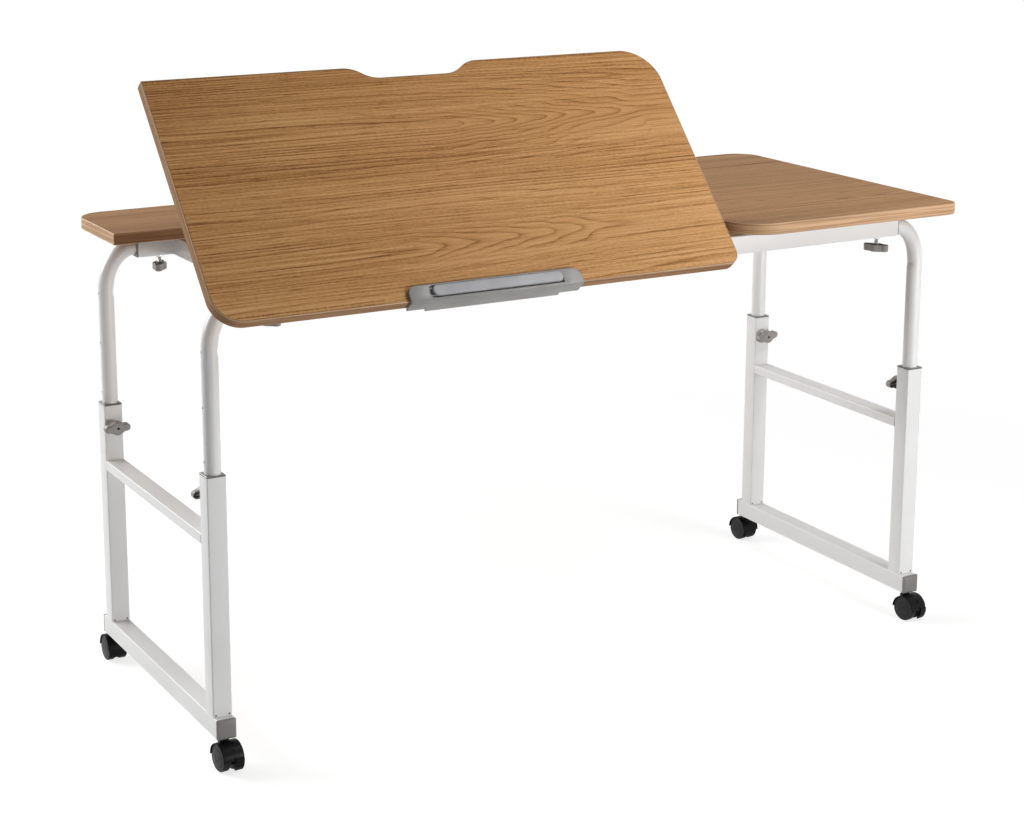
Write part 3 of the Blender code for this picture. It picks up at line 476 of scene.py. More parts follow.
def oak(name, colours, hearts, contrast, shift, roughness, specular, painted_falloff, margins=None):
    """Printed oak: growth lines along x that fold round two hearts, with streaks, pores and a slow tone.

    A heart is (start of its fold in x, its y, lines per metre along x, number of lines, width of the fold).
    Two slopes darken the print slowly along x and y: painted shade standing for light falling off. margins
    bound
    the coarser cut along the long edges: slope, level and most of the upper border, and the lower one.
    """
    f = Finish(name)
    p = f.coords("UV")
    x, y, _ = wire(f.tree, "SeparateXYZ", {0: p}).outputs
    p = f.stretch(p, (1, 1, 1), shift)
    bend = f.swing(f.grain(p, 1.4, 6), 0.03)
    ripple = f.swing(f.grain(p, 9, 55, detail=3, rough=0.6), 0.0026)
    across = f.add(f.add(y, bend), ripple)
    uneven = f.swing(f.grain(p, 11, 9, (8, 1)), 0.13)
    folds, zones = [], []
    for start_x, heart_y, rate, most, width in hearts:
        aside = f.sub(across, heart_y)
        aside2 = f.mul(aside, aside)
        bell = f.math("POWER", EULER, f.mul(aside2, -1 / width ** 2))
        rise = f.mul(f.sub(f.add(x, uneven), start_x), rate)
        rise = f.math("MINIMUM", f.math("MAXIMUM", rise, 0), most)
        out = f.mul(f.math("SQRT", f.add(aside2, HEART_ROUND)), LINES)
        folds.append(f.add(out, f.mul(bell, rise)))
        end_x = start_x + most / rate
        inside = f.mul(f.span(x, start_x - 0.04, start_x + 0.06), f.span(x, end_x + 0.1, end_x))
        zones.append(f.mul(f.math("POWER", bell, 5), inside))
    upper, lower = hearts[0][1], hearts[1][1]
    flipped = f.sub((upper - lower) * LINES, folds[1])
    middle = (upper + lower) / 2
    share = f.span(across, middle - 0.03, middle + 0.03)
    lines = f.add(f.mul(folds[0], share), f.mul(flipped, f.sub(1, share)))
    lines = f.add(lines, f.mul(f.grain(p, 0.5, 14, (2, 3)), 9))
    zone = f.math("MAXIMUM", zones[0], zones[1])
    ring = f.ramp(f.math("FRACT", lines), RING_STOPS, RING_DEPTHS)
    fade = f.span(f.grain(p, 0.9, 30, (3, 7)), 0.36, 0.66, 0.25, 1)
    fade = f.math("MAXIMUM", fade, f.mul(zone, 0.75))
    broad = f.grain(p, 1.5, 90, (1, 4))
    streak = f.grain(p, 1.9, 250, (11, 0))
    fibre = f.span(f.grain(p, 3.6, 400, (6, 8), rough=0.6), 0.38, 0.62)
    pores = f.span(f.grain(p, 20, 390, (0, 5), detail=1), 0.54, 0.72)
    grit = f.grain(p, 150, 430, (9, 6), detail=1)
    tone = f.grain(p, 0.9, 16, (5, 2))
    depth = f.mul(f.mul(ring, fade), 0.62 * contrast)
    calm = f.sub(1, f.mul(zone, 0.5))
    layers = [f.mul(f.swing(part, weight * contrast), calm)
              for part, weight in ((broad, 0.42), (streak, 0.5), (fibre, 0.25), (grit, 0.5))]
    # The last two layers are painted shade: slow slopes along x and y that darken the print as light would
    # fall off.
    layers += [f.swing(tone, 0.65 * contrast), f.mul(f.mul(pores, calm), 0.24 * contrast),
               f.mul(x, painted_falloff[0]), f.mul(f.sub(y, 0.2), painted_falloff[1])]
    if margins:
        slope, level, most, foot = margins
        border = f.math("MINIMUM", f.add(f.mul(x, slope), level), most)
        above = f.span(f.sub(y, border), 0, 0.0012)
        below = f.span(y, foot, foot - 0.0015)
        chatter = f.sub(f.grain(p, 330, 60), 0.45)
        layers.append(f.mul(f.mul(chatter, f.math("MAXIMUM", above, below)), 0.55))
    for layer in layers:
        depth = f.add(depth, layer)
    relief = f.sub(f.mul(streak, 0.6), f.mul(pores, 0.6))
    return f.done(f.ramp(f.add(depth, 0.28), OAK_STOPS, colours), streak, roughness - 0.05, roughness + 0.07,
                  specular, (relief, 0.14, 0.0004))


def edge_band(name, colours, roughness, specular):
    """A thin printed band wrapped round a board's edge, grain along the run."""
    f = Finish(name)
    p = f.coords("UV")
    streak = f.span(f.grain(p, 4, 330, detail=3, rough=0.6), 0.38, 0.62)
    slow = f.grain(p, 2, 60, (4, 9))
    depth = f.add(f.mul(streak, 0.55), f.mul(slow, 0.55))
    return f.done(f.ramp(depth, BAND_STOPS, colours), slow, roughness - 0.04, roughness + 0.06, specular,
                  (streak, 0.06, 0.0003))


def moulded(name, colour, shade, roughness, specular=0.5, strength=0.1, grain=2200):
    """A fine-grained moulding or coating with slow mottling."""
    f = Finish(name)
    p = f.coords()
    slow = f.noise(p, 26, detail=3)
    return f.done(f.mix(f.span(slow, 0.32, 0.68), shade, colour), slow, roughness + 0.05, roughness - 0.04,
                  specular, (f.noise(p, grain), strength, 0.0002))


def powder_coat(name):
    """White powder coat: orange-peel surface, slow gloss change and a trace of warmth."""
    f = Finish(name)
    p = f.coords()
    slow = f.noise(p, 7, detail=3)
    colour = f.mix(f.span(slow, 0.3, 0.7), (0.785, 0.785, 0.775), (0.825, 0.825, 0.822))
    return f.done(colour, slow, 0.36, 0.29, 0.5, (f.noise(p, 520), 0.09, 0.0003))


def plated(name, colour, roughness):
    """Zinc-plated steel with drawn streaks and dull spots."""
    f = Finish(name)
    p = f.coords()
    streak = f.noise(f.stretch(p, (60, 60, 900)), detail=3)
    spots = f.noise(p, 140, detail=3)
    dull = tuple(c * 0.78 for c in colour)
    return f.done(f.mix(f.span(spots, 0.42, 0.66), colour, dull), streak, roughness - 0.07, roughness + 0.1,
                  0.5, (streak, 0.06, 0.0002), metallic=1)


# The tilting panel's print darkens slowly towards its upper left: painted shade for light falling off.
TILT_OAK = oak(
    "oak_print_tilting",
    ((0.729, 0.415, 0.18), (0.594, 0.308, 0.119), (0.421, 0.198, 0.067), (0.211, 0.086, 0.028)),
    [(-0.2, 0.292, 19, 7, 0.07), (-0.32, 0.085, 15, 5, 0.055)],
    1, (0, 0, 0), 0.58, 0.1, (-0.12, 0.5), (0.053, 0.4237, 0.3995, 0.01))
TOP_OAK = oak(
    "oak_print_fixed",
    ((0.51, 0.29, 0.138), (0.425, 0.23, 0.103), (0.318, 0.16, 0.066), (0.178, 0.081, 0.031)),
    [(-0.4, 0.205, 16, 7, 0.07), (0.15, -0.12, 18, 7, 0.07)],
    1.1, (1.7, 0.9, 0), 0.62, 0.12, (0, 0))
BAND = edge_band(
    "oak_edge_band", ((0.66, 0.42, 0.245), (0.58, 0.355, 0.198), (0.42, 0.24, 0.122)), 0.5, 0.25)
# Painted shade: a darker copy of the edge band, for the tilting panel's edges and the top's inner edge along
# the strip.
SHADED_BAND = edge_band(
    "oak_band_painted_shade", ((0.42, 0.25, 0.143), (0.36, 0.21, 0.117), (0.27, 0.15, 0.079)), 0.7, 0.04)
# The tilting panel's arris band: nearly the edge band's own colour, a touch lighter as a painted highlight
# on the rounded arrises.
PANEL_ARRIS = edge_band(
    "oak_panel_arris", ((0.66, 0.44, 0.27), (0.57, 0.37, 0.22), (0.44, 0.27, 0.15)), 0.5, 0.25)
BAND_ARRIS = edge_band(
    "oak_band_arris", ((0.64, 0.42, 0.25), (0.56, 0.35, 0.2), (0.42, 0.245, 0.128)), 0.42, 0.35)
BAND_LINE = edge_band(
    "oak_glue_line", ((0.24, 0.125, 0.05), (0.17, 0.082, 0.03), (0.1, 0.046, 0.016)), 0.6, 0.1)
WHITE = powder_coat("white_powder_coat")
CAP_GREY = moulded("grey_cap_moulding", (0.18, 0.171, 0.163), (0.155, 0.147, 0.14), 0.32, 0.7)
KNOB_GREY = moulded("grey_knob_moulding", (0.29, 0.277, 0.264), (0.258, 0.246, 0.235), 0.42)
STOP_GREY = moulded("grey_stop_moulding", (0.285, 0.28, 0.27), (0.258, 0.252, 0.243), 0.42)
BAR_SILVER = moulded("silver_bar_lacquer", (0.45, 0.45, 0.465), (0.4, 0.4, 0.415), 0.5, strength=0.05)
NYLON = moulded("black_nylon", (0.0062, 0.0062, 0.007), (0.0046, 0.0046, 0.0053), 0.36, 0.09)
WHEEL_NYLON = moulded("wheel_nylon", (0.015, 0.0148, 0.017), (0.0115, 0.0113, 0.0135), 0.42, 0.2)
TREAD = moulded("wheel_tread", (0.009, 0.009, 0.01), (0.007, 0.007, 0.008), 0.5, 0.15)
ZINC = plated("zinc_plate", (0.66, 0.66, 0.65), 0.3)
RUBBER = moulded("black_rubber", (0.016, 0.016, 0.016), (0.012, 0.012, 0.012), 0.75, 0.25)
WELD = moulded("weld_spot", (0.24, 0.23, 0.22), (0.13, 0.125, 0.12), 0.4, grain=900, strength=0.3)
# Painted shade: near black for the knob's hole and the screws' cross recesses.
SHADE_BLACK = moulded("shadowed_socket", (0.012, 0.012, 0.012), (0.008, 0.008, 0.008), 0.6, 0.08)


# Boards

PRINT, EDGE, SOFT_EDGE, GLUE, SHADED_INNER_EDGE = range(5)  # finish numbers of a board


def board(name, loop, place, finishes):
    """A laminated board: printed faces and a wrapped band with softened edges; the inner edge takes a darker
    band as painted shade.
    """
    shape = Shape()
    steps = 5
    profile = slab_profile(0, BOARD, ARRIS, steps)
    profile = [(ARRIS + GLUE_LINE, 0)] + profile + [(ARRIS + GLUE_LINE, BOARD)]
    bands = [GLUE] + [SOFT_EDGE] * steps + [EDGE] + [SOFT_EDGE] * steps + [GLUE]
    shape.loft([lift(inset(loop, i), z) for i, z in profile], PRINT, bands=bands)
    # Faces on the inner edge along the strip take the darker band: painted shade.
    for k, face in enumerate(shape.faces):
        on_strip = all(abs(shape.verts[v].y - STRIP_FRONT) < 0.002 for v in face)
        if on_strip and shape.finishes[k] == EDGE:
            shape.finishes[k] = SHADED_INNER_EDGE
    return shape.make(name, finishes, place, angle=50)


def make_boards():
    steps = 20
    top_loop = rounded([
        (TOP_LEFT, STRIP_FRONT, 0.002), (RIGHT_PANEL_LEFT, STRIP_FRONT, 0.063),
        (RIGHT_PANEL_LEFT, TOP_FRONT, 0.07), (TOP_RIGHT, TOP_FRONT, 0.025),
        (TOP_RIGHT, TOP_REAR, 0.045), (TOP_LEFT, TOP_REAR, 0.045),
    ], steps)
    # The fifth finish, the darker band, is painted shade on the inner edge along the strip.
    top = board("desk_top", top_loop, at(0, 0, TOP_UNDERSIDE),
                [TOP_OAK, BAND, BAND_ARRIS, BAND_LINE, SHADED_BAND])
    settle(top, "fixed_top")
    level = TILT_DEPTH - NOTCH_DEPTH
    tilt_loop = rounded([
        (TOP_LEFT, 0, 0.045), (TILT_RIGHT, 0, 0.022), (TILT_RIGHT, TILT_DEPTH, 0.06),
        (TILT_MIDDLE + NOTCH_MOUTH / 2, TILT_DEPTH, NOTCH_RADIUS),
        (TILT_MIDDLE + NOTCH_FLOOR / 2, level, NOTCH_RADIUS),
        (TILT_MIDDLE - NOTCH_FLOOR / 2, level, NOTCH_RADIUS),
        (TILT_MIDDLE - NOTCH_MOUTH / 2, TILT_DEPTH, NOTCH_RADIUS),
        (TOP_LEFT, TILT_DEPTH, 0.002),
    ], steps)
    # The panel's edge takes the darker painted-shade band; its arrises keep a lighter band, partly painted
    # highlight.
    panel = board("tilting_panel", tilt_loop, ON_PANEL, [TILT_OAK, SHADED_BAND, PANEL_ARRIS, BAND_LINE])
    settle(panel, "tilt_panel")


# Steel frame

WELD_HALF = 0.0105  # half the length of a weld across a tube's flat
BETWEEN_RAILS = RAIL_Y - TUBE / 2 - SEAT


def make_top_frame():
    pads = {"front": (FRONT_RISER, CROSS_X["right"]), "rear": CROSS_X.values()}
    for end, sign in ENDS.items():
        shape = hollow_tube(-RAIL_HALF, RAIL_HALF, ALONG_X)
        for x in pads[end]:
            slab(shape, rectangle(RISER.x, RISER.y, 0.002), TUBE / 2 - 0.0004, TUBE / 2 + RISER.z - SEAT,
                 0.0012, place=at(x, 0, 0))
        inner = -sign * (TUBE / 2 + 0.0005)
        for x in CROSS_X.values():
            for edge in (-1, 1):
                corner = x + edge * (TUBE / 2 + 0.0003)
                bead(shape, (corner, inner, -WELD_HALF), (corner, inner, WELD_HALF), 0.0017, (edge, 0, 0))
        rail = shape.make(f"{end}_rail_tube", [WHITE], at(0, sign * RAIL_Y, RAIL_AXIS))
        settle(rail, f"{end}_rail")
    for name, x in CROSS_X.items():
        shape = hollow_tube(-BETWEEN_RAILS, BETWEEN_RAILS, ALONG_Y)
        member = shape.make(f"cross_tube_{name}", [WHITE], at(x, 0, RAIL_AXIS))
        settle(member, f"cross_member_{name}")


def collar(name, place):
    """A guide collar: a soft-edged flange, a lead-in round the bore and a sleeve inside the tube."""
    shape = Shape()
    half, hole, sides = TUBE / 2, UPRIGHT_RADIUS + SEAT, 48
    inner = half - TUBE_WALL - SEAT
    flange = [(half - 0.0002, SEAT), (half, SEAT + 0.0003), (half, COLLAR - 0.0009), (half - 0.0009, COLLAR)]
    bore = [(hole + 0.0006, COLLAR), (hole, COLLAR - 0.0006), (hole, -SLEEVE)]
    rings = [lift(square_ring(inner, 0.002, sides), z) for z in (-SLEEVE, SEAT)]
    rings += [lift(square_ring(h, 0.0016, sides), z) for h, z in flange]
    rings += [lift(circle(r, sides), z) for r, z in bore]
    shape.loft(rings, closed=True)
    return shape.make(name, [CAP_GREY], place)


def make_collars():
    for corner, _, x_sign, y_sign in CORNERS:
        place = at(x_sign * RAIL_HALF, y_sign * RAIL_Y, RAIL_AXIS) @ spun(x_sign * QUARTER, "Y")
        settle(collar(f"rail_cap_{corner}", place), f"rail_end_cap_{corner}")
        place = at(x_sign * LEG_X, y_sign * RAIL_Y, LEG_TOP - COLLAR)
        settle(collar(f"guide_collar_{corner}", place), f"leg_collar_{corner}")


# Dents inside the bend: depth, drop below the rail, half height, how narrow round the tube, start in x
DENTS = ((0.0024, BEND_DROP + 0.001, 0.0042, 4, -0.02), (0.0006, BEND_DROP + 0.007, 0.0016, 2, -0.02),
         (0.0005, 0.03, 0.022, 1, -BEND_REACH))
HOLE_RADIUS, HOLE_START, HOLE_END = 0.0018, 0.006, 0.02
HOLE_DROPS = (0.068, 0.148, 0.228)


def upright_path():
    """Centre points from inside the rail round the bend and down into the leg, close at the dents."""
    points = [Vector((-BEND_REACH - IN_RAIL, 0, 0)), Vector((-BEND_REACH - 0.002, 0, 0))]
    points += [Vector((-BEND_REACH * s, 0, -BEND_DROP * c)) for s, c in quarter(28)]
    depth = BEND_DROP
    while depth < BEND_DROP + 0.012:
        depth += 0.001
        points.append(Vector((0, 0, -depth)))
    points.append(Vector((0, 0, -HEIGHT_SET - IN_LEG)))
    return points


def upright_rings(path, sides=32):
    """Rings of the tube's outside and inside along the path, dented on the inner side of the bend."""
    outer, inner = [], []
    for k, point in enumerate(path):
        heading = (path[min(k + 1, len(path) - 1)] - path[max(k - 1, 0)]).normalized()
        normal = Vector((heading.z, 0, -heading.x))
        here = [(depth * exp(-((point.z + drop) / half) ** 2), narrow)
                for depth, drop, half, narrow, start in DENTS if point.x > start]
        ring_out, ring_in = [], []
        for angle in bearings(sides):
            facing = cos(angle)
            dent = sum(depth * max(0.0, facing) ** narrow for depth, narrow in here)
            spoke = normal * facing + Vector((0, 1, 0)) * sin(angle)
            ring_out.append(point + spoke * (UPRIGHT_RADIUS - dent))
            ring_in.append(point + spoke * (UPRIGHT_RADIUS - UPRIGHT_WALL - dent))
        outer.append(ring_out)
        inner.append(ring_in)
    return outer + inner[::-1]


def make_uprights():
    rings = upright_rings(upright_path())
    for corner, _, x_sign, y_sign in CORNERS:
        shape = Shape()
        mirror = Matrix.Diagonal((x_sign, 1, 1, 1))
        shape.loft(rings, closed=True, place=mirror)
        place = at(x_sign * LEG_X, y_sign * RAIL_Y, RAIL_AXIS)
        tube = shape.make(f"upright_tube_{corner}", [WHITE], place)
        carve(tube, [prism("hole", circle(HOLE_RADIUS, 20), HOLE_START, HOLE_END,
                           place @ (at(0, 0, -drop) @ mirror @ ALONG_X)) for drop in HOLE_DROPS])
        smooth(tube.data, 38)
        settle(tube, f"upright_{corner}")


def make_side_frames():
    for side, x_sign in SIDES.items():
        x = x_sign * LEG_X
        shape = hollow_tube(-BAR_HALF, BAR_HALF, ALONG_Y)
        for sign in ENDS.values():
            for face in (-1, 1):
                for dx in (-0.0108, 0.01):
                    spot = at(dx, sign * RAIL_Y + face * TUBE / 2, TUBE / 2 + 0.003)
                    tack(shape, spot @ spun(-face * QUARTER, "X"))
        bar = shape.make(f"floor_tube_{side}", [WHITE, WELD], at(x, 0, BAR_BASE + TUBE / 2))
        settle(bar, f"floor_bar_{side}")
        shape = hollow_tube(-BETWEEN_RAILS, BETWEEN_RAILS, ALONG_Y, RUNG_HEIGHT, RUNG_CORNER)
        for sign in ENDS.values():
            y = sign * (BETWEEN_RAILS + 0.0002)
            for level in (-1, 1):
                z = level * (RUNG_HEIGHT / 2 + 0.0001)
                bead(shape, (-WELD_HALF, y, z), (WELD_HALF, y, z), 0.0013, (0, 0, level))
        rung = shape.make(f"rung_tube_{side}", [WHITE], at(x, 0, RUNG_LOW + RUNG_HEIGHT / 2))
        settle(rung, f"rung_{side}")
        for end, y_sign in ENDS.items():
            shape = hollow_tube(LEG_BASE + SEAT, LEG_TOP - COLLAR)
            leg = shape.make(f"leg_tube_{end}_{side}", [WHITE], at(x, y_sign * RAIL_Y, 0))
            settle(leg, f"leg_{end}_{side}")


def make_bar_caps():
    half = TUBE / 2
    steps = [(half - 0.0018, -0.003), (half - 0.0018, SEAT), (half - 0.0002, SEAT), (half, SEAT + 0.0003),
             (half, BAR_CAP - 0.0018), (half - 0.0019, BAR_CAP - 0.0001), (half - 0.0021, BAR_CAP)]
    rings = [lift(rectangle(2 * h, 2 * h, max(0.0005, 0.0014 - (half - h) * 0.4), 8), z) for h, z in steps]
    for corner, _, x_sign, y_sign in CORNERS:
        shape = Shape()
        shape.loft(rings)
        place = at(x_sign * LEG_X, y_sign * BAR_HALF, BAR_BASE + TUBE / 2) @ spun(-y_sign * QUARTER, "X")
        cap = shape.make(f"bar_cap_{corner}", [CAP_GREY], place, angle=30)
        settle(cap, f"bar_end_cap_{corner}")


# Knobs

def wing_loop(cut):
    """The knob's plan, moved in by a cut: a round hub that flows into two rounded wings."""
    flank_steps, tip_steps = 26, 12
    wing = KNOB_WING - cut
    centre = KNOB_HALF - KNOB_WING
    edge = []
    for k in range(flank_steps):
        x = centre - 2 * centre * k / flank_steps
        bulge = cos(QUARTER * min(1, abs(x) / KNOB_SPREAD)) ** 2
        edge.append(Vector((x, wing + (KNOB_HUB - KNOB_WING) * bulge)))
    for k in range(tip_steps):
        angle = QUARTER + pi * k / tip_steps
        edge.append(Vector((-centre + wing * cos(angle), wing * sin(angle))))
    return edge + [-p for p in edge]


def knob(rim):
    """A hollow wing knob with a boss, soft edges, two ribs and a small hole in its face, coloured near black
    as painted shade.
    """
    shape = Shape()
    face = rim + KNOB_TALL
    floor = face - KNOB_FACE
    sides = [(KNOB_WALL + 0.0003, floor), (KNOB_WALL, rim + 0.0004), (KNOB_WALL - 0.0004, rim),
             (0.0004, rim), (0.0001, rim + 0.0004), (0.0002, face - 0.0016), (0.0003, face - 0.0013),
             (0.0005, face - 0.0011), (0.0023, face - 0.0001), (0.0025, face)]
    rings = [lift(wing_loop(cut), z) for cut, z in sides]
    flat = wing_loop(0.0025)
    hole = ((0.006, 0.75, 0.0001), (0.003, 1.0, 0.0001), (0.0021, 1.0, 0.0002), (0.0019, 1.0, 0.0004),
            (0.0019, 1.0, 0.0024))
    for radius, share, drop in hole:
        rings.append(lift([p.lerp(p.normalized() * radius, share) for p in flat], face - drop))
    # The last rings and the floor of the hole take the near-black finish: painted shade in the hole.
    shape.loft(rings, bands=[0] * (len(rings) - 3) + [1, 1])
    shape.finishes[-1] = 1
    turn(shape, [(KNOB_BOSS, floor + 0.0005), (KNOB_BOSS, rim - 0.0006), (KNOB_BOSS - 0.0006, rim - 0.0012),
                 (SCREW_RADIUS, rim - 0.0012)], 32)
    for angle in (0, pi):
        slab(shape, rectangle(0.011, 0.0013, 0.0003, 2), rim + 0.001, floor + 0.0004, 0.0002,
             place=spun(angle, "Z") @ at(0.01, 0, 0), steps=1)
    return shape


def screw_thread(shape, low, high, finish):
    """A screw with a real helical thread."""
    pitch, depth, sides = 0.001, 0.00045, 20
    rings = []
    steps = int((high - low) / (pitch / 4))
    for k in range(steps + 1):
        z = low + (high - low) * k / steps
        ring = []
        for j, angle in enumerate(bearings(sides)):
            phase = (z / pitch - j / sides) % 1.0
            r = SCREW_RADIUS - depth * abs(2 * phase - 1)
            ring.append((r * cos(angle), r * sin(angle), z))
        rings.append(ring)
    shape.loft(rings, finish)


def weld_nut():
    """A flanged nut welded where the screw enters the tube."""
    shape = Shape()
    turn(shape, [(0.0068, 0.0001), (0.0068, 0.0007), (0.0064, 0.0011), (0.0046, 0.0013)], 36)
    hexagon = rounded([(p.x, p.y, 0.0006) for p in circle(0.0055, 6)], 3)
    slab(shape, hexagon, 0.001, 0.0042, 0.0004, steps=2)
    return shape


def make_knobs():
    for corner, side, x_sign, y_sign in CORNERS:
        spots = (
            ("height", HEIGHT_STANDOFF, HEIGHT_TURNS, f"{side}_base", spun(y_sign * QUARTER, "X"),
             (x_sign * LEG_X, y_sign * (RAIL_Y - TUBE / 2), LEG_TOP - KNOB_DROP)),
            ("width", WIDTH_STANDOFF, WIDTH_TURNS, "top_frame", spun(pi, "X"),
             (x_sign * (RAIL_END - KNOB_FROM_END[side]), y_sign * RAIL_Y, RAIL_AXIS - TUBE / 2)),
        )
        for kind, rim, turns, carrier, facing, place in spots:
            seat = at(*place) @ facing
            shape = knob(rim)
            screw_thread(shape, SCREW_TIP, rim + 0.004, 2)
            piece = shape.make(f"{kind}_wing_knob_{corner}", [KNOB_GREY, SHADE_BLACK, ZINC],
                               seat @ spun(radians(turns[corner]), "Z"), angle=21)
            settle(piece, f"{kind}_knob_{corner}")
            add_on(weld_nut().make(f"{kind}_weld_nut_{corner}", [ZINC], seat), carrier)


# Castors

HOOD_FILLET, HOOD_SLOT = 0.001, 0.0012
SLOT_ANGLES = ((8, 15), (33, 46))
PEDAL_INNER, PEDAL_RISES = 0.0028, (0.0014, 0.0019, 0.0022)
STEM_RADIUS, STEM_LENGTH, BOSS_TOP = 0.004, 0.022, 0.0277


def swung(section, angle):
    """A section of (x, radius) pairs turned about the axle."""
    return [(x, r * cos(angle), r * sin(angle)) for x, r in section]


def swept(section, start, end, steps):
    """Rings of a section from one angle to another, in degrees."""
    start, end = radians(start), radians(end)
    return [swung(section, start + (end - start) * k / steps) for k in range(steps + 1)]


def hood_section(slot):
    """The hood cut along the axle: (x, radius) pairs round the shell, a slot of some depth and the web."""
    ring = [(-HOOD_HALF, HOOD_IN), (-HOOD_HALF, HOOD_OUT - HOOD_FILLET)]
    ring += [(-HOOD_HALF + HOOD_FILLET * c, HOOD_OUT - HOOD_FILLET * s) for s, c in quarter(5)[1:]]
    mirrored = [(-x, r) for x, r in reversed(ring)]
    ring += [(-0.0023, HOOD_OUT), (-0.0021, HOOD_OUT - slot), (0.0021, HOOD_OUT - slot), (0.0023, HOOD_OUT)]
    web = [(HOOD_WEB, HOOD_IN), (HOOD_WEB, 0.0036), (-HOOD_WEB, 0.0036), (-HOOD_WEB, HOOD_IN)]
    return ring + mirrored + web


def hood_shell():
    """The hood's rings over the wheels; two moulded slots interrupt the crown on the trailing side."""
    angles = set(range(0, 181, 3))
    for low, high in SLOT_ANGLES:
        angles |= {low - 0.02, low, high, high + 0.02}
    rings = []
    for angle in sorted(angles):
        slot = HOOD_SLOT if any(low <= angle <= high for low, high in SLOT_ANGLES) else 0.0
        rings.append(swung(hood_section(slot), radians(angle)))
    return rings


def hood(corner, place, braked):
    """A twin-wheel castor hood: a thin half-round shell, web, apron, pedal, boss, stem and axle."""
    shape = Shape()
    shape.loft(hood_shell())
    middle = (HOOD_IN + HOOD_OUT) / 2
    half = HOOD_HALF - 0.004
    apron = [(-half, HOOD_IN), (-half, middle - 0.0004), (-half + 0.0004, middle), (half - 0.0004, middle),
             (half, middle - 0.0004), (half, HOOD_IN)]
    shape.loft(swept(apron, 178, 215, 14))
    keel = [(-HOOD_WEB, 0.003), (-HOOD_WEB, 0.0205), (HOOD_WEB, 0.0205), (HOOD_WEB, 0.003)]
    shape.loft(swept(keel, 180, 205, 8))
    shape.loft(swept([(x, min(r, 0.0165)) for x, r in keel], -32, 0, 8))
    if braked:
        near, far = HOOD_HALF - 0.0008, PEDAL_INNER
        edge, top, crest = (HOOD_OUT + rise for rise in PEDAL_RISES)
        pedal = [(-near, middle), (-near, edge), (-near + 0.0005, top), (-far - 0.0005, top), (-far, edge),
                 (-far, middle)]
        shape.loft(swept(pedal, -45, 6, 20))
        rib = [(-near + 0.0015, edge), (-near + 0.002, crest), (-far - 0.002, crest), (-far - 0.0015, edge)]
        for angle in (-36, -29, -22):
            shape.loft(swept(rib, angle, angle + 3, 2))
    over = at(0, -TRAIL, 0)
    turn(shape, [(0.0092, 0.0165), (0.0092, 0.0205), (0.0078, 0.0222), (0.007, 0.0232),
                 (0.007, BOSS_TOP - 0.0004), (0.0066, BOSS_TOP)], 40, place=over)
    turn(shape, [(STEM_RADIUS, BOSS_TOP - 0.001), (STEM_RADIUS, BOSS_TOP + STEM_LENGTH - 0.0015),
                 (STEM_RADIUS - 0.0006, BOSS_TOP + STEM_LENGTH)], 24, 1, over)
    turn(shape, [(0.0026, -0.0133), (0.003, -0.0129), (0.003, 0.0129), (0.0026, 0.0133)], 24, 1, ALONG_X)
    piece = shape.make(f"castor_shell_{corner}", [NYLON, ZINC], place, angle=32)
    settle(piece, f"castor_hood_{corner}")


def wheel(name, place):
    """A castor wheel: crowned face with a raised rim and hub cap, rounded shoulders, plain tread."""
    shape = Shape()
    r, w = WHEEL_RADIUS, WHEEL_WIDTH
    outer_round, inner_round = 0.0017, 0.0028
    face = [(0.0, w), (0.003, w - 0.00004), (0.0052, w - 0.0001), (0.0055, w - 0.0004), (0.0062, w - 0.0004),
            (0.0066, w - 0.00015), (0.011, w - 0.0003), (0.015, w - 0.0006), (0.0158, w - 0.001),
            (0.0164, w - 0.001), (0.017, w - 0.0007), (0.0187, w - 0.0008)]
    shoulder = [(r - outer_round * s, w - 0.0009 - outer_round * c) for s, c in quarter(7)[1:]]
    back = [(r - inner_round * c, inner_round * s) for s, c in quarter(5)]
    bore = [(0.006, 0.0), (0.0056, 0.0004), (0.0033, 0.0004), (0.0033, 0.0105), (0.0, 0.0105)]
    bands = [0] * (len(face) + 3) + [1] * (len(shoulder) - 3 + len(back) - 1) + [0] * len(bore)
    turn(shape, face + shoulder + back + bore, 64, place=ALONG_X, bands=bands)
    return shape.make(name, [WHEEL_NYLON, TREAD], place, angle=30)


def make_castors():
    for corner, _, x_sign, y_sign in CORNERS:
        stem = at(x_sign * LEG_X, y_sign * STEM_Y, 0) @ spun(radians(CASTOR_YAWS[corner]), "Z")
        axle = stem @ at(0, TRAIL, WHEEL_RADIUS)
        hood(corner, axle, braked=y_sign < 0)
        for letter, half_turn in (("a", 0), ("b", pi)):
            place = axle @ spun(half_turn, "Z") @ at(WHEEL_START, 0, 0)
            piece = wheel(f"castor_disc_{corner}_{letter}", place)
            settle(piece, f"castor_wheel_{corner}_{letter}")


# Hinges and rests

TONGUE, KNUCKLE, LEAF = 0.01, 0.011, 0.003
ARM_HALF = TONGUE + SEAT + KNUCKLE


def pan_screw(shape, place, radius=0.0042):
    """A pan-head screw with a thin near-black cross on its head: painted shade where a cross recess would
    be.
    """
    turn(shape, [(radius, 0), (radius, 0.0007), (radius * 0.86, 0.0014), (radius * 0.5, 0.0018),
                 (0.0, 0.0019)], 24, place=place)
    for angle in (0, QUARTER):
        slab(shape, rectangle(radius * 1.1, radius * 0.22, 0.00005, 1), 0.0015, 0.00196, 0.00003, 1,
             place @ spun(angle, "Z"), 1)


def pin(shape, radius, half, sides):
    """A pin along X with broken edges."""
    cut = 0.0004
    turn(shape, [(radius - cut, -half), (radius, -half + cut), (radius, half - cut), (radius - cut, half)],
         sides, place=ALONG_X)


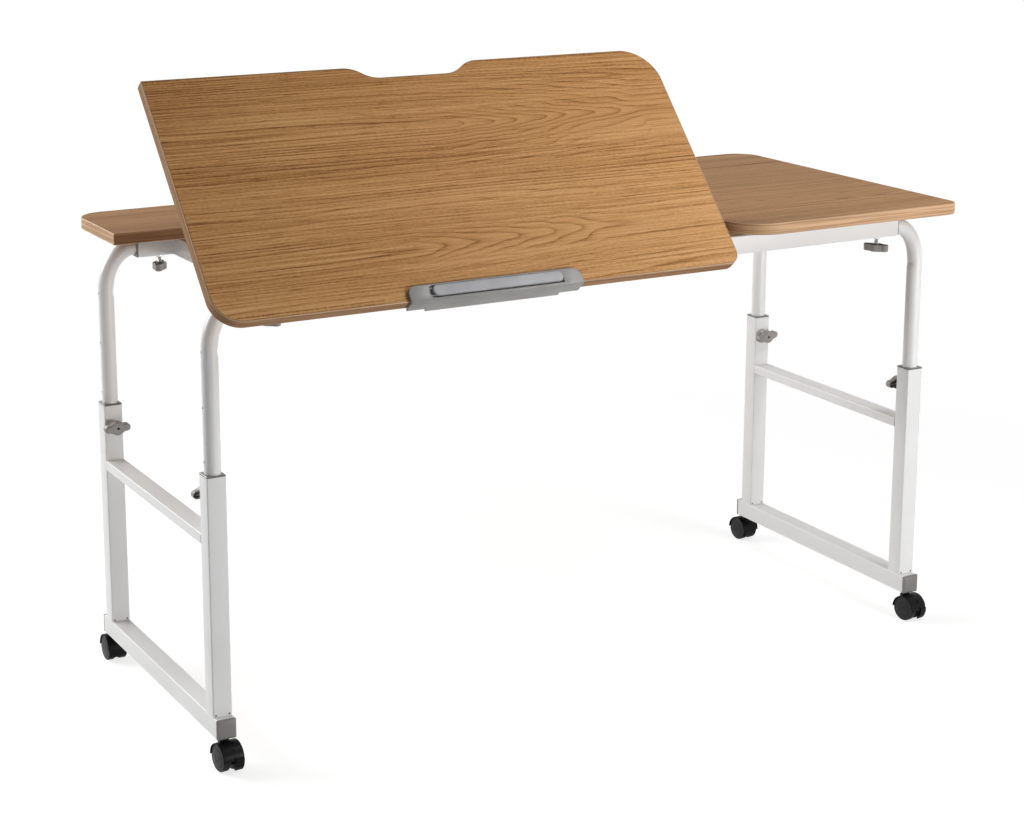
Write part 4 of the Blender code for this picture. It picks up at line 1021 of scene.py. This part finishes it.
def hinge_base():
    """A plate on the rail with a tongue, its knuckle, the pin and two screws."""
    shape = Shape()
    low = SEAT - LEAF
    slab(shape, box(-0.022, 0.022, 0.008, 0.038, 0.003, 0.006, 6), low, low + LEAF, 0.0004)
    slab(shape, rectangle(2 * TONGUE, 0.012, 0.0005, 2), low, low + LEAF, 0.0003, place=at(0, 0.0055, 0))
    pin(shape, 0.005, TONGUE, 32)
    pin(shape, 0.0025, ARM_HALF, 24)
    for dx in (-0.014, 0.014):
        pan_screw(shape, at(dx, 0.023, low + LEAF))
    return shape


def hinge_arm():
    """A long leaf under the panel with two knuckles round the pin and four screws."""
    shape = Shape()
    top = PIVOT_DROP - BOARD - SEAT
    slab(shape, box(-ARM_HALF, ARM_HALF, 0.002, 0.15, 0.001, 0.012, 8), top - LEAF, top, 0.0004)
    for sign in (-1, 1):
        low, high = sorted((sign * (TONGUE + SEAT), sign * ARM_HALF))
        pipe(shape, circle(0.0065, 36), circle(0.0028, 36), low, high, ALONG_X)
        slab(shape, rectangle(high - low, 0.006, 0.0003, 2), 0.0035, top - 0.001, 0.0002,
             place=at((low + high) / 2, 0.0032, 0))
    for dy in (0.055, 0.13):
        for dx in (-0.012, 0.012):
            pan_screw(shape, at(dx, dy, top - LEAF) @ spun(pi, "X"))
    return shape


def make_hinges():
    for side, x_sign in SIDES.items():
        x = TILT_MIDDLE + x_sign * HINGE_SPREAD / 2
        base = hinge_base().make(f"hinge_leaf_{side}", [ZINC, SHADE_BLACK], at(x, PIVOT_Y, PIVOT_Z))
        settle(base, f"tilt_hinge_base_{side}")
        arm = hinge_arm().make(f"hinge_strap_{side}", [ZINC, SHADE_BLACK], TILT @ at(x, 0, 0))
        settle(arm, f"tilt_hinge_arm_{side}")


def make_rests():
    low, high = RAIL_TOP + SEAT, TOP_UNDERSIDE - SEAT
    for side, x in (("left", CROSS_X["left"]), ("right", CROSS_X["middle"])):
        shape = Shape()
        turn(shape, [(0.0094, low), (0.01, low + 0.0006), (0.01, high - 0.003), (0.0096, high - 0.0014),
                     (0.0084, high - 0.0003), (0.0068, high), (0.003, high), (0.0026, high - 0.0004),
                     (0.0026, high - 0.004), (0.0, high - 0.004)], 40)
        rest = shape.make(f"rubber_button_{side}", [RUBBER], at(x, STRIP_FRONT - 0.045, 0))
        settle(rest, f"tilt_rest_{side}")


# Book stop

STOP_WIDTH, STOP_DEPTH, STOP_THICK, STOP_LIP = 0.286, 0.0225, 0.0048, 0.0037
STOP_REACH, STOP_TRIM, STOP_CORNER = 0.0085, 0.111, 0.014
POCKET_FLOOR, POCKET_DEPTH, POCKET_MIDDLE = 0.0012, 0.0198, 0.003
BAR_REACH, BAR_DEPTH, BAR_TALL, BAR_CORNER, BAR_ARRIS = 0.1075, 0.0168, 0.0058, 0.0075, 0.002
FLAP_AXIS_Y, FLAP_AXIS_Z, FLAP_FRONT, FLAP_PIN = 0.0043, 0.0033, 0.0024, 0.0008


def make_stop_base(seat):
    """The clip over the panel's edge: an angle cut to its plan, trimmed below, with the bar's pocket."""
    half = STOP_WIDTH / 2
    front, top, low = -SEAT - STOP_LIP, SEAT + STOP_THICK, -BOARD - STOP_REACH
    section = ((front, low), (-SEAT, low), (-SEAT, SEAT), (STOP_WIDTH, SEAT), (STOP_WIDTH, top),
               (front, top))
    base = prism("book_stop_clip", [Vector(p) for p in section], -STOP_WIDTH, STOP_WIDTH, ALONG_X)
    plan = box(-half, half, 2 * front, STOP_DEPTH, 0, STOP_CORNER, 14)
    carve(base, [prism("plan", plan, 2 * low, 2 * top)], "INTERSECT")
    trims = []
    for sign in SIDES.values():
        near, far = sorted((sign * STOP_TRIM, sign * STOP_WIDTH))
        trims.append(prism("trim", box(near, far, 2 * front, -front, 0, 0, 1), 2 * low, -BOARD - 0.0015))
    carve(base, trims)
    left, right = POCKET_MIDDLE - 0.1135, POCKET_MIDDLE + 0.1081
    pocket = rounded([(left, 0.0, BAR_CORNER), (right, 0.0, 0.0025), (right, POCKET_DEPTH, BAR_CORNER),
                      (left, POCKET_DEPTH, BAR_CORNER)], 10)
    carve(base, [prism("pocket", pocket, SEAT + POCKET_FLOOR, 2 * top)])
    put(base.modifiers.new("soft edges", "BEVEL"), width=0.0006, segments=3, limit_method="ANGLE",
        angle_limit=radians(40))
    baked(base)
    base.data.materials.clear()
    base.data.materials.append(STOP_GREY)
    base.data.transform(seat)
    tidy(base.data, 30)
    settle(base, "book_stop_base")


def make_stop_flap(seat):
    """The bar that folds out of the pocket, with its pin."""
    shape = Shape()
    bottom = POCKET_FLOOR + SEAT - FLAP_AXIS_Z
    front, rear = FLAP_FRONT - FLAP_AXIS_Y, FLAP_FRONT + BAR_DEPTH - FLAP_AXIS_Y
    left, right = POCKET_MIDDLE - BAR_REACH, POCKET_MIDDLE + BAR_REACH
    plan = box(left, right, front, rear, BAR_CORNER, BAR_CORNER, 12)
    slab(shape, plan, bottom, bottom + BAR_TALL, BAR_ARRIS, steps=6)
    turn(shape, [(FLAP_PIN, left - 0.0085), (FLAP_PIN, right + 0.0034)], 16, 1, ALONG_X)
    place = seat @ at(0, FLAP_AXIS_Y, SEAT + FLAP_AXIS_Z)
    flap = shape.make("book_stop_bar", [BAR_SILVER, STOP_GREY], place, angle=40)
    settle(flap, "book_stop_flap")


def make_book_stop():
    seat = TILT @ at(STOP_MIDDLE, -PIVOT_SETBACK, PIVOT_DROP)
    make_stop_base(seat)
    make_stop_flap(seat)


# Stage

PURE_WHITE = (1, 1, 1, 1)
FLOOR_REACH, FLOOR_LEVEL = 30, -0.0005
FLOOR_GREY, SHADOW_GREY = (0.8, 0.8, 0.8, 1), (0.42, 0.42, 0.42, 1)
FLOOR_GLOW, WORLD_FILL = 0.76, 0.12
SHADOW_NEAR, SHADOW_FAR = 0.9, 2.0  # the shadows fade out between these distances from the middle
LAMPS = (  # name, place, target, size, watts
    ("key_softbox", (0.9, -0.9, 1.9), (0.0, -0.1, 0.75), (0.7, 0.7), 12),
    ("front_softbox", (1.3, -2.8, 0.45), (0.0, 0.0, 0.4), (1.2, 0.7), 42),
    ("left_softbox", (-3.2, 2.5, 2.0), (0.0, 0.0, 0.4), (2.0, 1.6), 112),
    ("rear_softbox", (-1.4, 3.0, 2.1), (-0.3, 0.0, 0.5), (1.6, 1.4), 36),
)
CAMERA_PLACE = (-1.7249, -2.97606, 1.36784)
YAW, PITCH, ROLL = -0.49219, -0.22447, -0.00168
PHOTO_WIDTH, FOCAL_LENGTH, SHIFT = 1024, 2174.95, (60, -120)  # in pixels
SENSOR = 36


def light(name, place, target, size, power):
    lamp = bpy.data.lights.new(name, "AREA")
    put(lamp, shape="RECTANGLE", size=size[0], size_y=size[1], energy=power)
    ahead = Vector(target) - Vector(place)
    put(linked(name, lamp), location=place, rotation_euler=ahead.to_track_quat("-Z", "Y").to_euler())


def choose(tree, unseen, shown, kind):
    """Camera, glossy and transmission rays meet one shader, and all others the other."""
    path = wire(tree, "LightPath").outputs
    rays = path["Is Camera Ray"]
    for ray in ("Is Glossy Ray", "Is Transmission Ray"):
        rays = wire(tree, "Math", {0: rays, 1: path[ray]}, operation="MAXIMUM")
    both = wire(tree, "MixShader", {0: rays, 1: unseen, 2: shown})
    wire(tree, kind, {"Surface": both})


def bare_tree(block):
    """The block's node tree, emptied."""
    block.use_nodes = True
    block.node_tree.nodes.clear()
    return block.node_tree


def make_floor():
    low, high, z = -FLOOR_REACH, FLOOR_REACH, FLOOR_LEVEL
    mesh = bpy.data.meshes.new("studio_floor")
    mesh.from_pydata([(low, low, z), (high, low, z), (high, high, z), (low, high, z)], [], [(0, 1, 2, 3)])
    floor = linked("studio_floor", mesh)
    material = bpy.data.materials.new("studio_floor_white")
    tree = bare_tree(material)
    matt = wire(tree, "BsdfDiffuse", {"Color": FLOOR_GREY})
    shadow = wire(tree, "BsdfDiffuse", {"Color": SHADOW_GREY})
    glow = wire(tree, "Emission", {"Color": PURE_WHITE, "Strength": FLOOR_GLOW})
    near = wire(tree, "AddShader", {0: shadow, 1: glow})
    spot = wire(tree, "TexCoord").outputs["Object"]
    away = wire(tree, "VectorMath", {0: spot}, operation="LENGTH").outputs["Value"]
    edge = wire(tree, "MapRange", {"Value": away, "From Min": SHADOW_NEAR, "From Max": SHADOW_FAR},
                interpolation_type="SMOOTHSTEP")
    far = wire(tree, "Emission", {"Color": PURE_WHITE, "Strength": 1.0})
    shown = wire(tree, "MixShader", {0: edge, 1: near, 2: far})
    choose(tree, matt, shown, "OutputMaterial")
    mesh.materials.append(material)


def make_world():
    world = bpy.data.worlds.new("studio_white")
    bpy.context.scene.world = world
    tree = bare_tree(world)
    shown, fill = (wire(tree, "Background", {"Color": PURE_WHITE, "Strength": strength})
                   for strength in (1.0, WORLD_FILL))
    choose(tree, fill, shown, "OutputWorld")


def make_camera():
    data = bpy.data.cameras.new("photo_camera")
    camera = linked("photo_camera", data)
    ahead = Vector((-sin(YAW) * cos(PITCH), cos(YAW) * cos(PITCH), sin(PITCH)))
    right = Vector((cos(YAW), sin(YAW), 0))
    up = right.cross(ahead)
    axes = (right * cos(ROLL) + up * sin(ROLL), up * cos(ROLL) - right * sin(ROLL), -ahead)
    camera.matrix_world = at(*CAMERA_PLACE) @ Matrix(axes).transposed().to_4x4()
    put(data, sensor_width=SENSOR, lens=FOCAL_LENGTH / PHOTO_WIDTH * SENSOR, clip_end=100,
        shift_x=SHIFT[0] / PHOTO_WIDTH, shift_y=SHIFT[1] / PHOTO_WIDTH)
    bpy.context.scene.camera = camera


make_boards()
make_top_frame()
make_collars()
make_uprights()
make_side_frames()
make_bar_caps()
make_knobs()
make_castors()
make_hinges()
make_rests()
make_book_stop()
make_floor()
make_world()
for lamp_values in LAMPS:
    light(*lamp_values)
make_camera()

bpy.context.scene.view_settings.view_transform = "Standard"
